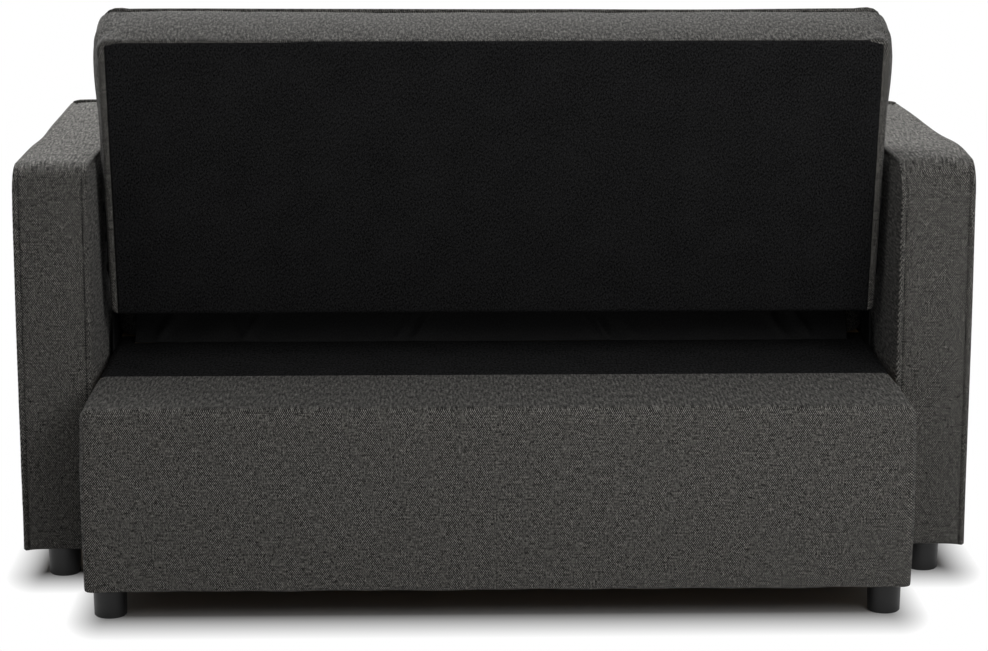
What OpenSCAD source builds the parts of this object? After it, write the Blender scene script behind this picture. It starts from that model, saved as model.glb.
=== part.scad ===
// Two-seat sofa bed: the backrest folds back onto a deck behind it, and a second mattress
// pulls out at the front. X runs along the seat, the front faces -Y, Z is up, left is +X.

/* [Overall] */
// Depth from the rear face of the base to the front of the arms
total_depth = 1000; // [960:5:1080]
// Height of the legs
leg_h = 50; // [35:1:80]
// Diameter of the legs
leg_d = 50; // [36:1:56]

/* [Base] */
// Width of the upholstered base
base_w = 1200; // [1000:10:1500]
// Height of the base, from its underside to the deck
base_h = 270; // [262:1:320]
// How far the base stands out behind the arms
rear_overhang = 223; // [150:1:260]
// Thickness of the side panels and the rear board
board_t = 18; // [15:0.5:22]
// Thickness of the deck board and the seat slats
deck_t = 12; // [9:0.5:15]
// Fabric and wadding over the base
cover_t = 3.4; // [3:0.1:5]
// Radius of the covered edges of the base
cover_r = 14; // [6:1:24]
// Number of slats under the seat
seat_slat_count = 5; // [3:1:6]

/* [Arms] */
// Width of an arm
arm_w = 110; // [90:1:150]
// Height of an arm above its legs
arm_h = 590; // [540:1:660]
// Space between the base and an arm
arm_gap = 10; // [9:0.5:16]
// Radius of the top corners of an arm
arm_corner_r = 36; // [24:1:60]
// Foam and fabric around the arm's frame
arm_pad_t = 12; // [8:0.5:18]
// Radius of the piping on the arm's edges
piping_r = 3; // [2:0.5:4]

/* [Backrest] */
// Length of the backrest, from its lower to its upper edge
back_len = 444; // [380:1:448]
// Thickness of the backrest
back_t = 160; // [150:1:168]
// Lean of the backrest from upright, in degrees
back_lean = 12.3; // [6:0.1:18]
// Space between the backrest and an arm
back_side_gap = 17; // [17:0.5:24]
// Thickness of the timber in the backrest
back_frame_t = 40; // [30:1:45]
// Width of the timber in the backrest
back_frame_w = 50; // [44:1:60]

/* [Seat] */
// Distance from the front of the seat mattress back to the front of the arms
seat_inset = 12; // [6:1:30]
// Rise of the seat mattress at its middle
seat_crown = 8; // [2:1:14]

/* [Pull-out bed] */
// Height of the side boards of the pull-out bed
pullout_side_h = 62; // [56:1:66]
// Space under the pull-out bed's boards
pullout_floor_gap = 58; // [56:1:66]
// Diameter of the wheels
wheel_d = 46; // [36:1:50]
// Diameter of the rear rollers
roller_d = 24; // [18:0.5:26]
// Number of slats of the pull-out bed
pullout_slat_count = 8; // [5:1:9]

/* [Ratchet hinges] */
// Thickness of the hinge plates
plate_t = 3; // [2:0.1:3.2]
// Radius of the toothed disc at the tips of its teeth
disc_r = 34; // [30:0.5:36]
// Depth of a tooth
tooth_depth = 4.5; // [3:0.1:6]
// Number of teeth
tooth_count = 8; // [6:1:9]
// Radius of the hinge pin
pin_r = 6; // [4:0.1:7]
// Height of the hinge line above the backrest's lower face
pivot_rise = 18; // [16:0.5:22]
// Distance of the hinge line from the backrest's rear face
pivot_in = 107; // [100:0.5:112]

/* [Hidden] */
$fn = 48;

// Colours
fabric_colour = [0.23, 0.22, 0.21];
lining_colour = [0.05, 0.05, 0.055];
timber_colour = [0.72, 0.58, 0.40];
ply_colour = [0.78, 0.66, 0.48];
steel_colour = [0.55, 0.56, 0.58];
black_steel_colour = [0.07, 0.07, 0.075];
plastic_colour = [0.07, 0.07, 0.075];
rubber_colour = [0.16, 0.16, 0.17];

// Sizes that several pieces share
seat_gap = 0.3;      // between a soft piece and what carries it
run_clear = 0.05;    // of a shaft in its hole, on the radius
plate_clear = 0.6;   // between plates that turn past each other
cut = 1;             // overrun of every cut
lining_t = 2;        // black lining on the deck
fold_gap = 1.8;      // between the folded backrest and the deck

// Main places
left = 1;
right = -1;
rear_y = total_depth / 2;
front_y = -total_depth / 2;
half_w = base_w / 2;
deck_z = leg_h + base_h;
arm_in = half_w + arm_gap;
arm_out = arm_in + arm_w;
arm_rear_y = rear_y - rear_overhang;
piping_proud_share = 0.4;
piping_proud = piping_r * piping_proud_share;
arm_front_y = front_y + piping_proud;
arm_l = arm_rear_y - arm_front_y;
side_out = half_w - cover_t;
side_in = side_out - board_t;
deck_top = deck_z - lining_t;
deck_under = deck_top - deck_t;

// Hinge line: the backrest lies on the deck when it has turned back to level
hinge_from_rear = 456;
hinge_y = rear_y - hinge_from_rear;
hinge_z = deck_z + fold_gap + pivot_in;

// Seat mattress: clear of the circle that the backrest's lower front edge turns through
back_edge_r = 14;
front_reach = back_t - pivot_in;
turn_clear = 2;
seat_rear_y = hinge_y - sqrt(front_reach * front_reach + pivot_rise * pivot_rise);
seat_front_y = front_y + seat_inset;
seat_side_gap = 6;
seat_w = 2 * (arm_in - seat_side_gap);
seat_t = back_t + fold_gap - seat_crown;

seat_corner_r = 40;
seat_edge_r = 24;
seat_foot_r = 8;
seat_draw = 5;

// Flap between the deck and the seat mattress
flap_foot_y = hinge_y - pivot_rise - fold_gap;
flap_rise = 62;
flap_t = 2;
flap_fold = 5;
flap_fold_w = 26;
flap_fold_lean = 60;
flap_columns = 60;
flap_rows = 4;
flap_fold_shares = [-0.88, -0.72, -0.38, -0.3, 0.2, 0.28, 0.62, 0.86];

// Frame pieces under the deck
rail_h = 18;
rail_w = 60;
deck_beam_y = hinge_y - rail_w / 2;
front_gap = 2;            // between the pull-out bed's front board and the base
pullout_board_t = 16;
pullout_pad_t = 14;
pullout_front_y = seat_front_y;
pullout_board_y = pullout_front_y + pullout_pad_t + pullout_board_t;
base_front_y = pullout_board_y + front_gap;
board_edge_r = cover_r - cover_t;
front_rail_y = base_front_y + rail_w / 2;
slat_w = 60;
slat_end_gap = 12;

// Legs
base_leg_in_x = 29;       // from the side of the base to the leg's axis
base_leg_in_y = 52;
arm_leg_in_y = 49;
block_w = 60;
block_h = 40;
base_leg_x = half_w - base_leg_in_x;
base_leg_y = rear_y - base_leg_in_y;
arm_leg_x = arm_in + arm_w / 2;
arm_leg_rear_y = arm_rear_y - arm_leg_in_y;
arm_leg_front_y = front_y + arm_leg_in_y;
screw_r = 4;
screw_head_r = 7;
screw_head_h = 5;
screw_grip = 26;          // length of a leg's screw in the timber
leg_well_depth = 32;
leg_well_r = 9;
leg_edge = 2;
leg_taper = 1;

// Arms
arm_inner_board_t = 9;
arm_outer_board_t = 4;
arm_post_w = 40;
arm_rail_h = 32;
batten_z = 70;            // above the underside of the base
batten_h = 110;
arm_bolt_r = 4;
arm_bolt_shares = [0.12, 0.5, 0.88];
bolt_head_r = 8;
bolt_head_h = 4;
low_head_h = 3;
low_head_r = 7;
nut_r = 7.5;
nut_h = 6;
arm_frame_x = arm_in + arm_pad_t;
arm_bolt_z = leg_h + batten_z + batten_h / 2;
batten_rear_y = arm_rear_y - arm_post_w;
batten_front_y = base_front_y + arm_post_w;

// Backrest, in its own frame: X along it, -Y to its front, Z up it
back_half = arm_in - back_side_gap;
lining_thin = 1.5;
lining_margin = 10.5;
back_cover_t = 6;
back_board_t = 4;
web_t = 1.6;
web_w = 50;
web_rows = 3;
web_columns = 8;
back_corner_r = 34;
back_foot_r = 12;
frame_front = lining_thin + back_board_t + back_frame_t;
cushion_rear = frame_front + 2 * web_t + seat_gap;
cushion_side = 0.5;       // the cushion's sides stand back from the hinge plates
back_crown = 8;
back_draw = 3;
back_seam_r = 2;

// Ratchet hinges
arm_plate_x = back_half;
base_plate_x = arm_plate_x + plate_t + plate_clear;
plate_foot_z = 72;        // reach of the fixed plate below the deck
plate_foot_w = 70;
lining_notch_w = 30;      // cut out of the deck's lining at each hinge plate
plate_head_r = 24;
hinge_bolt_r = 4;
hinge_bolt_rows = [42, 60];  // below the deck
hinge_bolt_x = 22;        // from the plate's middle line
strap_w = 32;
strap_first = 70;         // first screw of the toothed arm, above the lower face
strap_pitch = 50;
strap_screws = 3;
strap_in = 25;            // from the backrest's rear face
ratchet_screw_r = 3;
ratchet_screw_l = 36;
rivet_head_r = 10;
rivet_head_h = 3;
pawl_y = -24;             // the pawl's pin, from the hinge line
pawl_z = -56;
pawl_pin_r = 4;
pawl_boss_r = 8;
pawl_w = 9;
pawl_clear = 0.5;         // between the pawl's tip and the teeth
spring_t = 1;
spring_w = 2.4;
spring_post_w = 10;
spring_post_y = -44;
spring_post_z = -72;
spring_tip_turn = -53;    // where the leaf meets the pawl's end, in degrees
tooth_first = -178;
tooth_arc = 96;
notch_steep_share = 0.32;
notch_slope_share = 0.45;
pawl_nose_share = 0.33;
pawl_end_share = 0.66;
pawl_end = [-pawl_w * pawl_nose_share, -disc_r - pawl_clear - pawl_w * pawl_end_share];

// Pull-out bed
runner_d = 16;
runner_t = 1.5;
roller_clear = 0.3;
runner_gap = 2.6;
pullout_half = side_in - runner_d - runner_gap;
pullout_side_t = 18;
pullout_rear_gap = 65;
pullout_rear_y = rear_y - cover_t - board_t - pullout_rear_gap;
pullout_slat_t = 12;
pullout_slat_w = 60;
pullout_top_gap = 4;
pullout_side_z = pullout_floor_gap;
pullout_slat_z = pullout_side_z + pullout_side_h;
pullout_bed_z = pullout_slat_z + pullout_slat_t;
pullout_bed_top = deck_under - rail_h - pullout_top_gap;
pullout_bed_side = 4;
pullout_panel_side = 6;
pullout_panel_z = 56;
wheel_w = 22;
wheel_in = 40;            // from the front board to the wheel's axle
wheel_y = pullout_board_y + wheel_in;
axle_r = 4;
axle_head_r = 7;
axle_head_h = 3;
bracket_t = 2.5;
bracket_w = 44;
wheel_side_gap = 0.3;
roller_w = 10;
roller_in = 30;
roller_y = pullout_rear_y - roller_in;
roller_z = pullout_side_z + pullout_side_h / 2;
rear_rail_t = 18;
mid_rail_w = 40;
strap_webbing_w = 32;
strap_webbing_t = 1.5;
strap_drop = 70;
panel_top = deck_z - pullout_top_gap;
pad_thin_r = 10;
pad_thin_edge = 4;
pad_thin_foot = 1;
pad_thin_crown = 3;
pad_thin_draw = 1;
pullout_crown = 6;
roller_gap = 3.2;
tread_r = 3;
hub_r = 9;
web_in = 4;

// Cushion forms
pad_steps = 6;
pad_edge_rings = 3;
pad_side_rings = 3;
pad_crown_rings = 6;
pad_last_share = 0.92;

// Piece from corner a to corner b
module span(a, b) {
    translate(a) cube(b - a);
}

// A piece drawn for the left is mirrored for the right
module on_side(side) {
    mirror([side == right ? 1 : 0, 0, 0]) children();
}

module both_sides() {
    for (side = [left, right]) on_side(side) children();
}

// Cylinder along X that starts at x
module rod_x(x, l, r, y = 0, z = 0) {
    translate([x, y, z]) rotate([0, 90, 0]) cylinder(r = r, h = l);
}

// Rectangle with two rounded upper corners, standing on the X axis
module arch_rect(w, h, r) {
    square([w, h - r]);
    translate([r, 0]) square([w - 2 * r, h]);
    for (x = [r, w - r]) translate([x, h - r]) circle(r);
}

// Rectangle with rounded corners of two radii, below and above, centred on X
module slab_rect(w, h, r_low, r_high) {
    translate([-w / 2, r_low]) square([w, h - r_low - r_high]);
    translate([-w / 2 + r_low, 0]) square([w - 2 * r_low, h - r_high]);
    translate([-w / 2 + r_high, r_low]) square([w - 2 * r_high, h - r_low]);
    for (s = [-1, 1]) {
        translate([s * (w / 2 - r_low), r_low]) circle(r_low);
        translate([s * (w / 2 - r_high), h - r_high]) circle(r_high);
    }
}

// Cushion form: rings of a rounded rectangle, drawn in at the seams and crowned on top
function pad_ring(w, d, r, inset, z) = [
    for (c = [0:3], k = [0:pad_steps])
        let (
            a = 90 * (c + k / pad_steps),
            corner = r * (1 - inset / (min(w, d) / 2)),
            x = (w / 2 - inset - corner) * (c == 0 || c == 3 ? 1 : -1),
            y = (d / 2 - inset - corner) * (c < 2 ? 1 : -1)
        )
        [x + corner * cos(a), y + corner * sin(a), z]
];

// Insets and heights of a cushion's rings, from its flat underside to its crown
function pad_levels(w, d, h, foot, edge, crown, draw) =
    let (limit = min(w, d) / 2 * pad_last_share)
    concat(
        [for (i = [0:pad_edge_rings])
            let (a = 90 * i / pad_edge_rings) [draw + foot * (1 - sin(a)), foot * (1 - cos(a))]],
        [for (i = [1:pad_side_rings])
            let (t = i / (pad_side_rings + 1), z = foot + (h - foot - edge) * t)
            [draw * (2 * t - 1) * (2 * t - 1), z]],
        [for (i = [0:pad_edge_rings])
            let (a = 90 * i / pad_edge_rings) [draw + edge * (1 - cos(a)), h - edge * (1 - sin(a))]],
        [for (i = [1:pad_crown_rings])
            let (t = i / pad_crown_rings)
            [draw + edge + (limit - draw - edge) * t, h + crown * (1 - (1 - t) * (1 - t))]]
    );

module pad(w, d, h, r, foot, edge, crown, draw) {
    levels = pad_levels(w, d, h, foot, edge, crown, draw);
    n = 4 * (pad_steps + 1);
    m = len(levels);
    points = [for (l = levels) each pad_ring(w, d, r, l[0], l[1])];
    sides = [
        for (j = [0:m - 2], i = [0:n - 1])
            let (a = j * n + i, b = j * n + (i + 1) % n, c = b + n, e = a + n)
            each [[a, c, b], [a, e, c]]
    ];
    caps = [[for (i = [0:n - 1]) i], [for (i = [n - 1:-1:0]) (m - 1) * n + i]];
    polyhedron(points, concat(sides, caps), convexity = 4);
}

module side_panel(side) {
    color(ply_colour) on_side(side) difference() {
        span([side_in, base_front_y, leg_h], [side_out, rear_y - cover_t - board_t, deck_under]);
        arm_bolt_holes(side_in, board_t);
        hinge_bolt_holes(side_in, board_t);
    }
}

module rear_board() {
    color(ply_colour) intersection() {
        span([-side_out, rear_y - cover_t - board_t, leg_h], [side_out, rear_y, deck_under]);
        board_form(seat_rear_y, leg_h);
    }
}

module deck_board() {
    color(ply_colour) intersection() {
        span([-side_out, seat_rear_y, deck_under], [side_out, rear_y, deck_top]);
        board_form(seat_rear_y, leg_h);
    }
}

// Flat cross rails under the hinge line and at the front
module cross_rails() {
    color(timber_colour) for (y = [deck_beam_y, front_rail_y]) span(
        [-side_in, y - rail_w / 2, deck_under - rail_h], [side_in, y + rail_w / 2, deck_under]
    );
}

module mid_bearer() {
    color(timber_colour) span(
        [-rail_w / 2, front_rail_y + rail_w / 2, deck_under - rail_h],
        [rail_w / 2, deck_beam_y - rail_w / 2, deck_under]
    );
}

module seat_slats() {
    first = base_front_y + slat_w / 2;
    last = seat_rear_y - slat_end_gap - slat_w / 2;
    color(timber_colour) for (i = [0:seat_slat_count - 1]) {
        y = first + (last - first) * i / (seat_slat_count - 1);
        span([-side_out, y - slat_w / 2, deck_under], [side_out, y + slat_w / 2, deck_z]);
    }
}

module corner_blocks() {
    y = rear_y - cover_t - board_t;
    color(timber_colour) both_sides() difference() {
        span([side_in - block_w, y - block_w, leg_h], [side_in, y, leg_h + block_h]);
        translate([base_leg_x, base_leg_y, leg_h - cut])
            cylinder(r = screw_r + run_clear, h = screw_grip + run_clear + cut);
    }
}

// Steel channel that a rear roller of the pull-out bed runs in
module runner(side) {
    low = roller_z - roller_d / 2 - roller_clear;
    high = roller_z + roller_d / 2 + roller_clear;
    start = pullout_rear_y + roller_clear;
    color(steel_colour) on_side(side) difference() {
        span([side_in - runner_d, base_front_y, low - runner_t], [side_in, start, high + runner_t]);
        span([side_in - runner_d - cut, base_front_y - cut, low], [side_in - runner_t, start + cut, high]);
    }
}

// Form of the base from its underside up, with its rear and top edges rounded
module base_form(front, half, rear, top, r, low) {
    l = rear - front;
    h = top - low;
    intersection() {
        translate([0, 0, low]) linear_extrude(h)
            translate([-half, front]) arch_rect(2 * half, l, r);
        translate([-half, 0, 0]) rotate([90, 0, 90]) linear_extrude(2 * half) {
            translate([front, low]) square([l - r, h]);
            translate([front, low]) square([l, h - r]);
            translate([rear - r, top - r]) circle(r);
        }
    }
}

// Form of the boards under the cover: their outer edges are rounded over
module board_form(front, low) {
    base_form(front, side_out, rear_y - cover_t, deck_top, board_edge_r, low);
}

// Fabric over the rear of the base: rear face, sides and the band on top
module rear_cover() {
    front = arm_rear_y - lining_t / 2;
    color(fabric_colour) difference() {
        base_form(front, half_w, rear_y, deck_z, cover_r, leg_h);
        board_form(front - cut, leg_h - cut);
    }
}

// Black lining on the deck, cut away round the hinge plates
module deck_lining() {
    rear = arm_rear_y - lining_t / 2;
    color(lining_colour) difference() {
        span([-side_out, flap_foot_y, deck_top], [side_out, rear, deck_z]);
        both_sides() span(
            [side_out - lining_notch_w, flap_foot_y - cut, deck_top - cut],
            [half_w, hinge_y + plate_foot_w / 2, deck_z + cut]
        );
    }
}

// Loose flap that closes the gap between the deck and the seat mattress, with its diagonal folds
function flap_bulge(x, t) =
    let (half = side_out - flap_fold_w)
    sin(180 * t) * flap_fold * max([
        for (i = [0:len(flap_fold_shares) - 1])
            let (
                lean = flap_fold_lean * (i % 2 == 0 ? 1 : -1),
                u = (x - flap_fold_shares[i] * half - lean * (t - 0.5)) / flap_fold_w
            )
            max(0, 1 - u * u)
    ]);

module seat_flap() {
    half = side_out - flap_fold_w;
    top_y = seat_rear_y + seat_gap + flap_t;
    cols = flap_columns + 1;
    rows = flap_rows + 1;
    face_points = [
        for (layer = [0, 1], j = [0:flap_rows], i = [0:flap_columns])
            let (
                t = j / flap_rows,
                x = -half + 2 * half * i / flap_columns,
                y = flap_foot_y - seat_gap + (top_y - flap_foot_y + seat_gap) * t,
                back = (layer == 0 ? 0 : flap_t)
            )
            [x, y - back - flap_bulge(x, t) * (1 - t), deck_top + flap_rise * t]
    ];
    n = cols * rows;
    quads = [
        for (j = [0:flap_rows - 1], i = [0:flap_columns - 1])
            let (a = j * cols + i, b = a + 1, c = b + cols, d = a + cols)
            each [[a, b, c], [a, c, d], [a + n, c + n, b + n], [a + n, d + n, c + n]]
    ];
    rims = concat(
        [for (i = [0:flap_columns - 1])
            let (a = i, b = i + 1) each [[a, a + n, b], [b, a + n, b + n]]],
        [for (i = [0:flap_columns - 1])
            let (a = flap_rows * cols + i, b = a + 1) each [[a, b, a + n], [b, b + n, a + n]]],
        [for (j = [0:flap_rows - 1])
            let (a = j * cols, b = a + cols) each [[a, b, a + n], [b, b + n, a + n]]],
        [for (j = [0:flap_rows - 1])
            let (a = j * cols + flap_columns, b = a + cols) each [[a, a + n, b], [b, a + n, b + n]]]
    );
    color(lining_colour) polyhedron(face_points, concat(quads, rims), convexity = 10);
}

module seat_mattress() {
    d = seat_rear_y - turn_clear - seat_front_y;
    color(fabric_colour) translate([0, seat_front_y + d / 2, deck_z])
        pad(seat_w, d, seat_t, seat_corner_r, seat_foot_r, seat_edge_r, seat_crown, seat_draw);
}

// Moulded leg: slightly tapered, with a well for its screw
module leg(x, y) {
    top_r = leg_d / 2;
    foot_r = top_r - leg_taper;
    color(plastic_colour) translate([x, y, 0]) difference() {
        rotate_extrude($fn = 64) polygon([
            [0, 0], [foot_r - leg_edge, 0], [foot_r, leg_edge],
            [top_r, leg_h - leg_edge], [top_r - leg_edge, leg_h], [0, leg_h]
        ]);
        translate([0, 0, -cut]) cylinder(r = leg_well_r, h = leg_well_depth + cut);
        cylinder(r = screw_r + run_clear, h = leg_h + cut);
    }
}

module leg_screw(x, y) {
    translate([x, y, leg_well_depth - screw_head_h]) cylinder(r = screw_head_r, h = screw_head_h);
    translate([x, y, leg_well_depth]) cylinder(r = screw_r, h = leg_h - leg_well_depth + screw_grip);
}

module leg_screws() {
    color(steel_colour) both_sides() {
        leg_screw(base_leg_x, base_leg_y);
        leg_screw(arm_leg_x, arm_leg_rear_y);
        leg_screw(arm_leg_x, arm_leg_front_y);
    }
}

// Arms: a timber frame between two boards, in a padded cover
module arm_profile(inset) {
    translate([arm_front_y + inset, leg_h])
        arch_rect(arm_l - 2 * inset, arm_h - inset, arm_corner_r - inset);
}

module arm_slab(x, t, inset) {
    translate([x, 0, 0]) rotate([90, 0, 90]) linear_extrude(t) arm_profile(inset);
}

// Piping along one edge of an arm: up the rear, over the top and down the front
module arm_piping(x) {
    sunk = piping_r - piping_proud;
    r = arm_corner_r - sunk;
    front = arm_front_y + sunk;
    rear = arm_rear_y - sunk;
    top = leg_h + arm_h - sunk;
    for (y = [front, rear]) translate([x, y, leg_h]) cylinder(r = piping_r, h = top - r - leg_h);
    translate([x, front + r, top]) rotate([-90, 0, 0])
        cylinder(r = piping_r, h = rear - front - 2 * r);
    for (end = [[front + r, 90], [rear - r, 0]]) translate([x, end[0], top - r])
        rotate([90, 0, 90]) rotate([0, 0, end[1]])
            rotate_extrude(angle = 90) translate([r, 0]) circle(piping_r, $fn = 16);
}

module arm_cover(side) {
    color(fabric_colour) on_side(side) difference() {
        union() {
            arm_slab(arm_in, arm_w, 0);
            arm_piping(arm_out - piping_r + piping_proud);
            arm_piping(arm_in + piping_r - piping_proud);
        }
        translate([0, 0, -cut]) arm_slab(arm_frame_x, arm_w - 2 * arm_pad_t, arm_pad_t);
        arm_slab(arm_frame_x, arm_w - 2 * arm_pad_t, arm_pad_t);
        arm_bolt_holes(arm_in, arm_pad_t);
    }
}

// Glued frame of posts and rails
module arm_frame(side) {
    x = arm_frame_x + arm_inner_board_t;
    w = arm_w - 2 * arm_pad_t - arm_inner_board_t - arm_outer_board_t;
    inner_front = arm_front_y + arm_pad_t + arm_post_w;
    inner_rear = arm_rear_y - arm_pad_t - arm_post_w;
    color(timber_colour) on_side(side) difference() {
        arm_slab(x, w, arm_pad_t);
        span(
            [x - cut, inner_front, leg_h + arm_rail_h],
            [x + w + cut, inner_rear, leg_h + arm_h - arm_pad_t - arm_rail_h]
        );
        for (y = [arm_leg_rear_y, arm_leg_front_y]) translate([arm_leg_x, y, leg_h - cut])
            cylinder(r = screw_r + run_clear, h = screw_grip + run_clear + cut);
    }
}

// Boards on the inner and the outer side of an arm's frame
module arm_boards(side) {
    color(ply_colour) on_side(side) {
        difference() {
            arm_slab(arm_frame_x, arm_inner_board_t, arm_pad_t);
            arm_bolt_holes(arm_frame_x, arm_inner_board_t);
        }
        arm_slab(arm_out - arm_pad_t - arm_outer_board_t, arm_outer_board_t, arm_pad_t);
    }
}

module arm_bolt_places() {
    for (share = arm_bolt_shares)
        translate([0, batten_front_y + (batten_rear_y - batten_front_y) * share, arm_bolt_z]) children();
}

module arm_bolt_holes(x, t) {
    arm_bolt_places() rod_x(x - cut, t + 2 * cut, arm_bolt_r + run_clear);
}

// Battens that space the arms from the base
module arm_battens() {
    color(timber_colour) both_sides() difference() {
        span(
            [side_out, batten_front_y, leg_h + batten_z],
            [arm_in, batten_rear_y, leg_h + batten_z + batten_h]
        );
        arm_bolt_holes(side_out, arm_in - side_out);
    }
}

module arm_bolts() {
    last = arm_frame_x + arm_inner_board_t;
    color(steel_colour) both_sides() arm_bolt_places() {
        rod_x(side_in - bolt_head_h, bolt_head_h, bolt_head_r);
        rod_x(side_in, last - side_in, arm_bolt_r);
        translate([last, 0, 0]) rotate([0, 90, 0]) cylinder(r = nut_r, h = nut_h, $fn = 6);
    }
}

// Everything in the backrest is drawn upright with its rear lower edge on the X axis
module in_back() {
    translate([0, hinge_y, hinge_z]) rotate([-back_lean, 0, 0])
        translate([0, pivot_in, -pivot_rise]) children();
}

// Extrusion along the backrest's thickness, from its rear face
module back_slab(from, t) {
    translate([0, -from, 0]) rotate([90, 0, 0]) linear_extrude(t) children();
}

module back_outline(inset) {
    translate([0, inset]) slab_rect(
        2 * (back_half - inset), back_len - 2 * inset,
        back_foot_r - inset, back_corner_r - inset
    );
}

module backrest_rails() {
    front = frame_front;
    color(timber_colour) in_back() for (low = [true, false]) intersection() {
        back_slab(lining_thin + back_board_t, back_frame_t) back_outline(back_cover_t);
        translate([0, 0, low ? back_cover_t : back_len - back_cover_t - back_frame_w])
            span([-back_half, -front, 0], [back_half, 0, back_frame_w]);
    }
}

module backrest_stiles() {
    w = back_frame_w;
    outer = back_half - back_cover_t - w / 2;
    low = back_cover_t + w;
    color(timber_colour) in_back() difference() {
        for (x = [-outer, -outer / 3, outer / 3, outer]) span(
            [x - w / 2, -frame_front, low], [x + w / 2, -lining_thin - back_board_t, back_len - low]
        );
        both_sides() strap_screw_places()
            rod_x(back_half - ratchet_screw_l - cut, ratchet_screw_l + cut, ratchet_screw_r + run_clear);
    }
}

module backrest_board() {
    color(ply_colour) in_back() back_slab(lining_thin, back_board_t) back_outline(back_cover_t);
}

// Black lining stapled over the rear of the backrest
module backrest_lining() {
    w = back_half - lining_margin;
    color(lining_colour) in_back()
        span([-w, -lining_thin, back_cover_t], [w, 0, back_len - back_cover_t]);
}

// Elastic webbing across the front of the frame
module backrest_webbing() {
    inner = 2 * (back_half - back_cover_t - back_frame_w / 2);
    tall = back_len - 2 * back_cover_t - back_frame_w;
    color(lining_colour) in_back() {
        for (i = [0.5:1:web_columns - 0.5]) {
            x = -inner / 2 + inner * i / web_columns;
            span(
                [x - web_w / 2, -frame_front - web_t, (back_len - tall) / 2],
                [x + web_w / 2, -frame_front, (back_len + tall) / 2]
            );
        }
        for (j = [0.5:1:web_rows - 0.5]) {
            z = (back_len - tall) / 2 + tall * j / web_rows;
            span(
                [-inner / 2, -frame_front - 2 * web_t, z - web_w / 2],
                [inner / 2, -frame_front - web_t, z + web_w / 2]
            );
        }
    }
}

module backrest_cushion() {
    h = back_t - cushion_rear - back_crown;
    color(fabric_colour) in_back() translate([0, -cushion_rear, back_len / 2]) rotate([90, 0, 0])
        pad(2 * (back_half - cushion_side), back_len, h, back_corner_r, back_seam_r,
                back_edge_r, back_crown, back_draw);
}

// Fabric drawn round the frame to the rear, with its turned-in margin
module backrest_cover() {
    color(fabric_colour) in_back() difference() {
        back_slab(0, cushion_rear - seat_gap) back_outline(0);
        back_slab(lining_thin, cushion_rear) back_outline(back_cover_t);
        w = back_half - lining_margin;
        span([-w, -lining_thin - cut, back_cover_t], [w, cut, back_len - back_cover_t]);
        both_sides() strap_screw_places()
            rod_x(back_half - back_cover_t - cut, back_cover_t + 2 * cut, ratchet_screw_r + run_clear);
    }
}

// Places of the screws that hold the toothed arm to the outer stile
module strap_screw_places() {
    for (i = [0:strap_screws - 1])
        translate([0, -strap_in - lining_thin, strap_first + strap_pitch * i]) children();
}

// Toothed disc: notches with one steep and one sloping side, cut round its lower edge
module ratchet_disc() {
    root = disc_r - tooth_depth;
    over = disc_r + tooth_depth;
    pitch = tooth_arc / tooth_count;
    steep = pitch * notch_steep_share;
    slope = pitch * notch_slope_share;
    difference() {
        circle(disc_r);
        for (i = [0:tooth_count - 1]) rotate(tooth_first + pitch * i) polygon([
            [over * cos(slope), -over * sin(slope)], [over * cos(steep), over * sin(steep)],
            [root * cos(steep), root * sin(steep)]
        ]);
    }
}

// Flat bar of one width along the places of a route, with rounded ends
module bar_2d(route, w) {
    for (place = route) translate(place) circle(w / 2);
    for (i = [1:len(route) - 1]) {
        d = route[i] - route[i - 1];
        translate(route[i - 1]) rotate(atan2(d[1], d[0])) translate([0, -w / 2]) square([norm(d), w]);
    }
}

// One edge of a bent strip, at a distance from the route through its middle
function strip_edge(route, off) = [
    for (i = [0:len(route) - 1])
        let (
            before = i > 0 ? route[i] - route[i - 1] : route[1] - route[0],
            after = i < len(route) - 1 ? route[i + 1] - route[i] : before,
            n1 = [-before[1], before[0]] / norm(before),
            n2 = [-after[1], after[0]] / norm(after)
        )
        route[i] + off * (n1 + n2) / (1 + n1 * n2)
];

// Strip of one thickness bent along a route, with mitred corners and square ends
module strip_2d(route, t) {
    back = strip_edge(route, t / 2);
    polygon(concat(strip_edge(route, -t / 2), [for (i = [len(back) - 1:-1:0]) back[i]]));
}

// Sheet profile to plate: sheet X becomes Y, sheet Y becomes Z, thickness runs along X
module plate(x, t) {
    translate([x, 0, 0]) rotate([90, 0, 90]) linear_extrude(t) children();
}

module ratchet_arm(side) {
    hinge = [-pivot_in, pivot_rise];
    first = [-strap_in - lining_thin, strap_first];
    last = [-strap_in - lining_thin, strap_first + strap_pitch * (strap_screws - 1)];
    color(black_steel_colour) on_side(side) in_back() difference() {
        plate(arm_plate_x, plate_t) {
            bar_2d([hinge, first, last], strap_w);
            translate(hinge) rotate(back_lean) ratchet_disc();
        }
        strap_screw_places() rod_x(arm_plate_x - cut, plate_t + 2 * cut, ratchet_screw_r + run_clear);
        translate([0, -pivot_in, pivot_rise])
            rod_x(arm_plate_x - cut, plate_t + 2 * cut, pin_r + run_clear);
    }
}

module ratchet_screws() {
    color(black_steel_colour) in_back() both_sides() strap_screw_places() {
        rod_x(back_half - ratchet_screw_l, ratchet_screw_l + plate_t, ratchet_screw_r);
        rod_x(back_half + plate_t, low_head_h, low_head_r);
    }
}

module at_hinge() {
    translate([0, hinge_y, hinge_z]) children();
}

module hinge_bolt_places() {
    for (row = hinge_bolt_rows, s = [-1, 1])
        translate([0, hinge_y + s * hinge_bolt_x, deck_z - row]) children();
}

module hinge_bolt_holes(x, t) {
    hinge_bolt_places() rod_x(x - cut, t + 2 * cut, hinge_bolt_r + run_clear);
}

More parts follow.
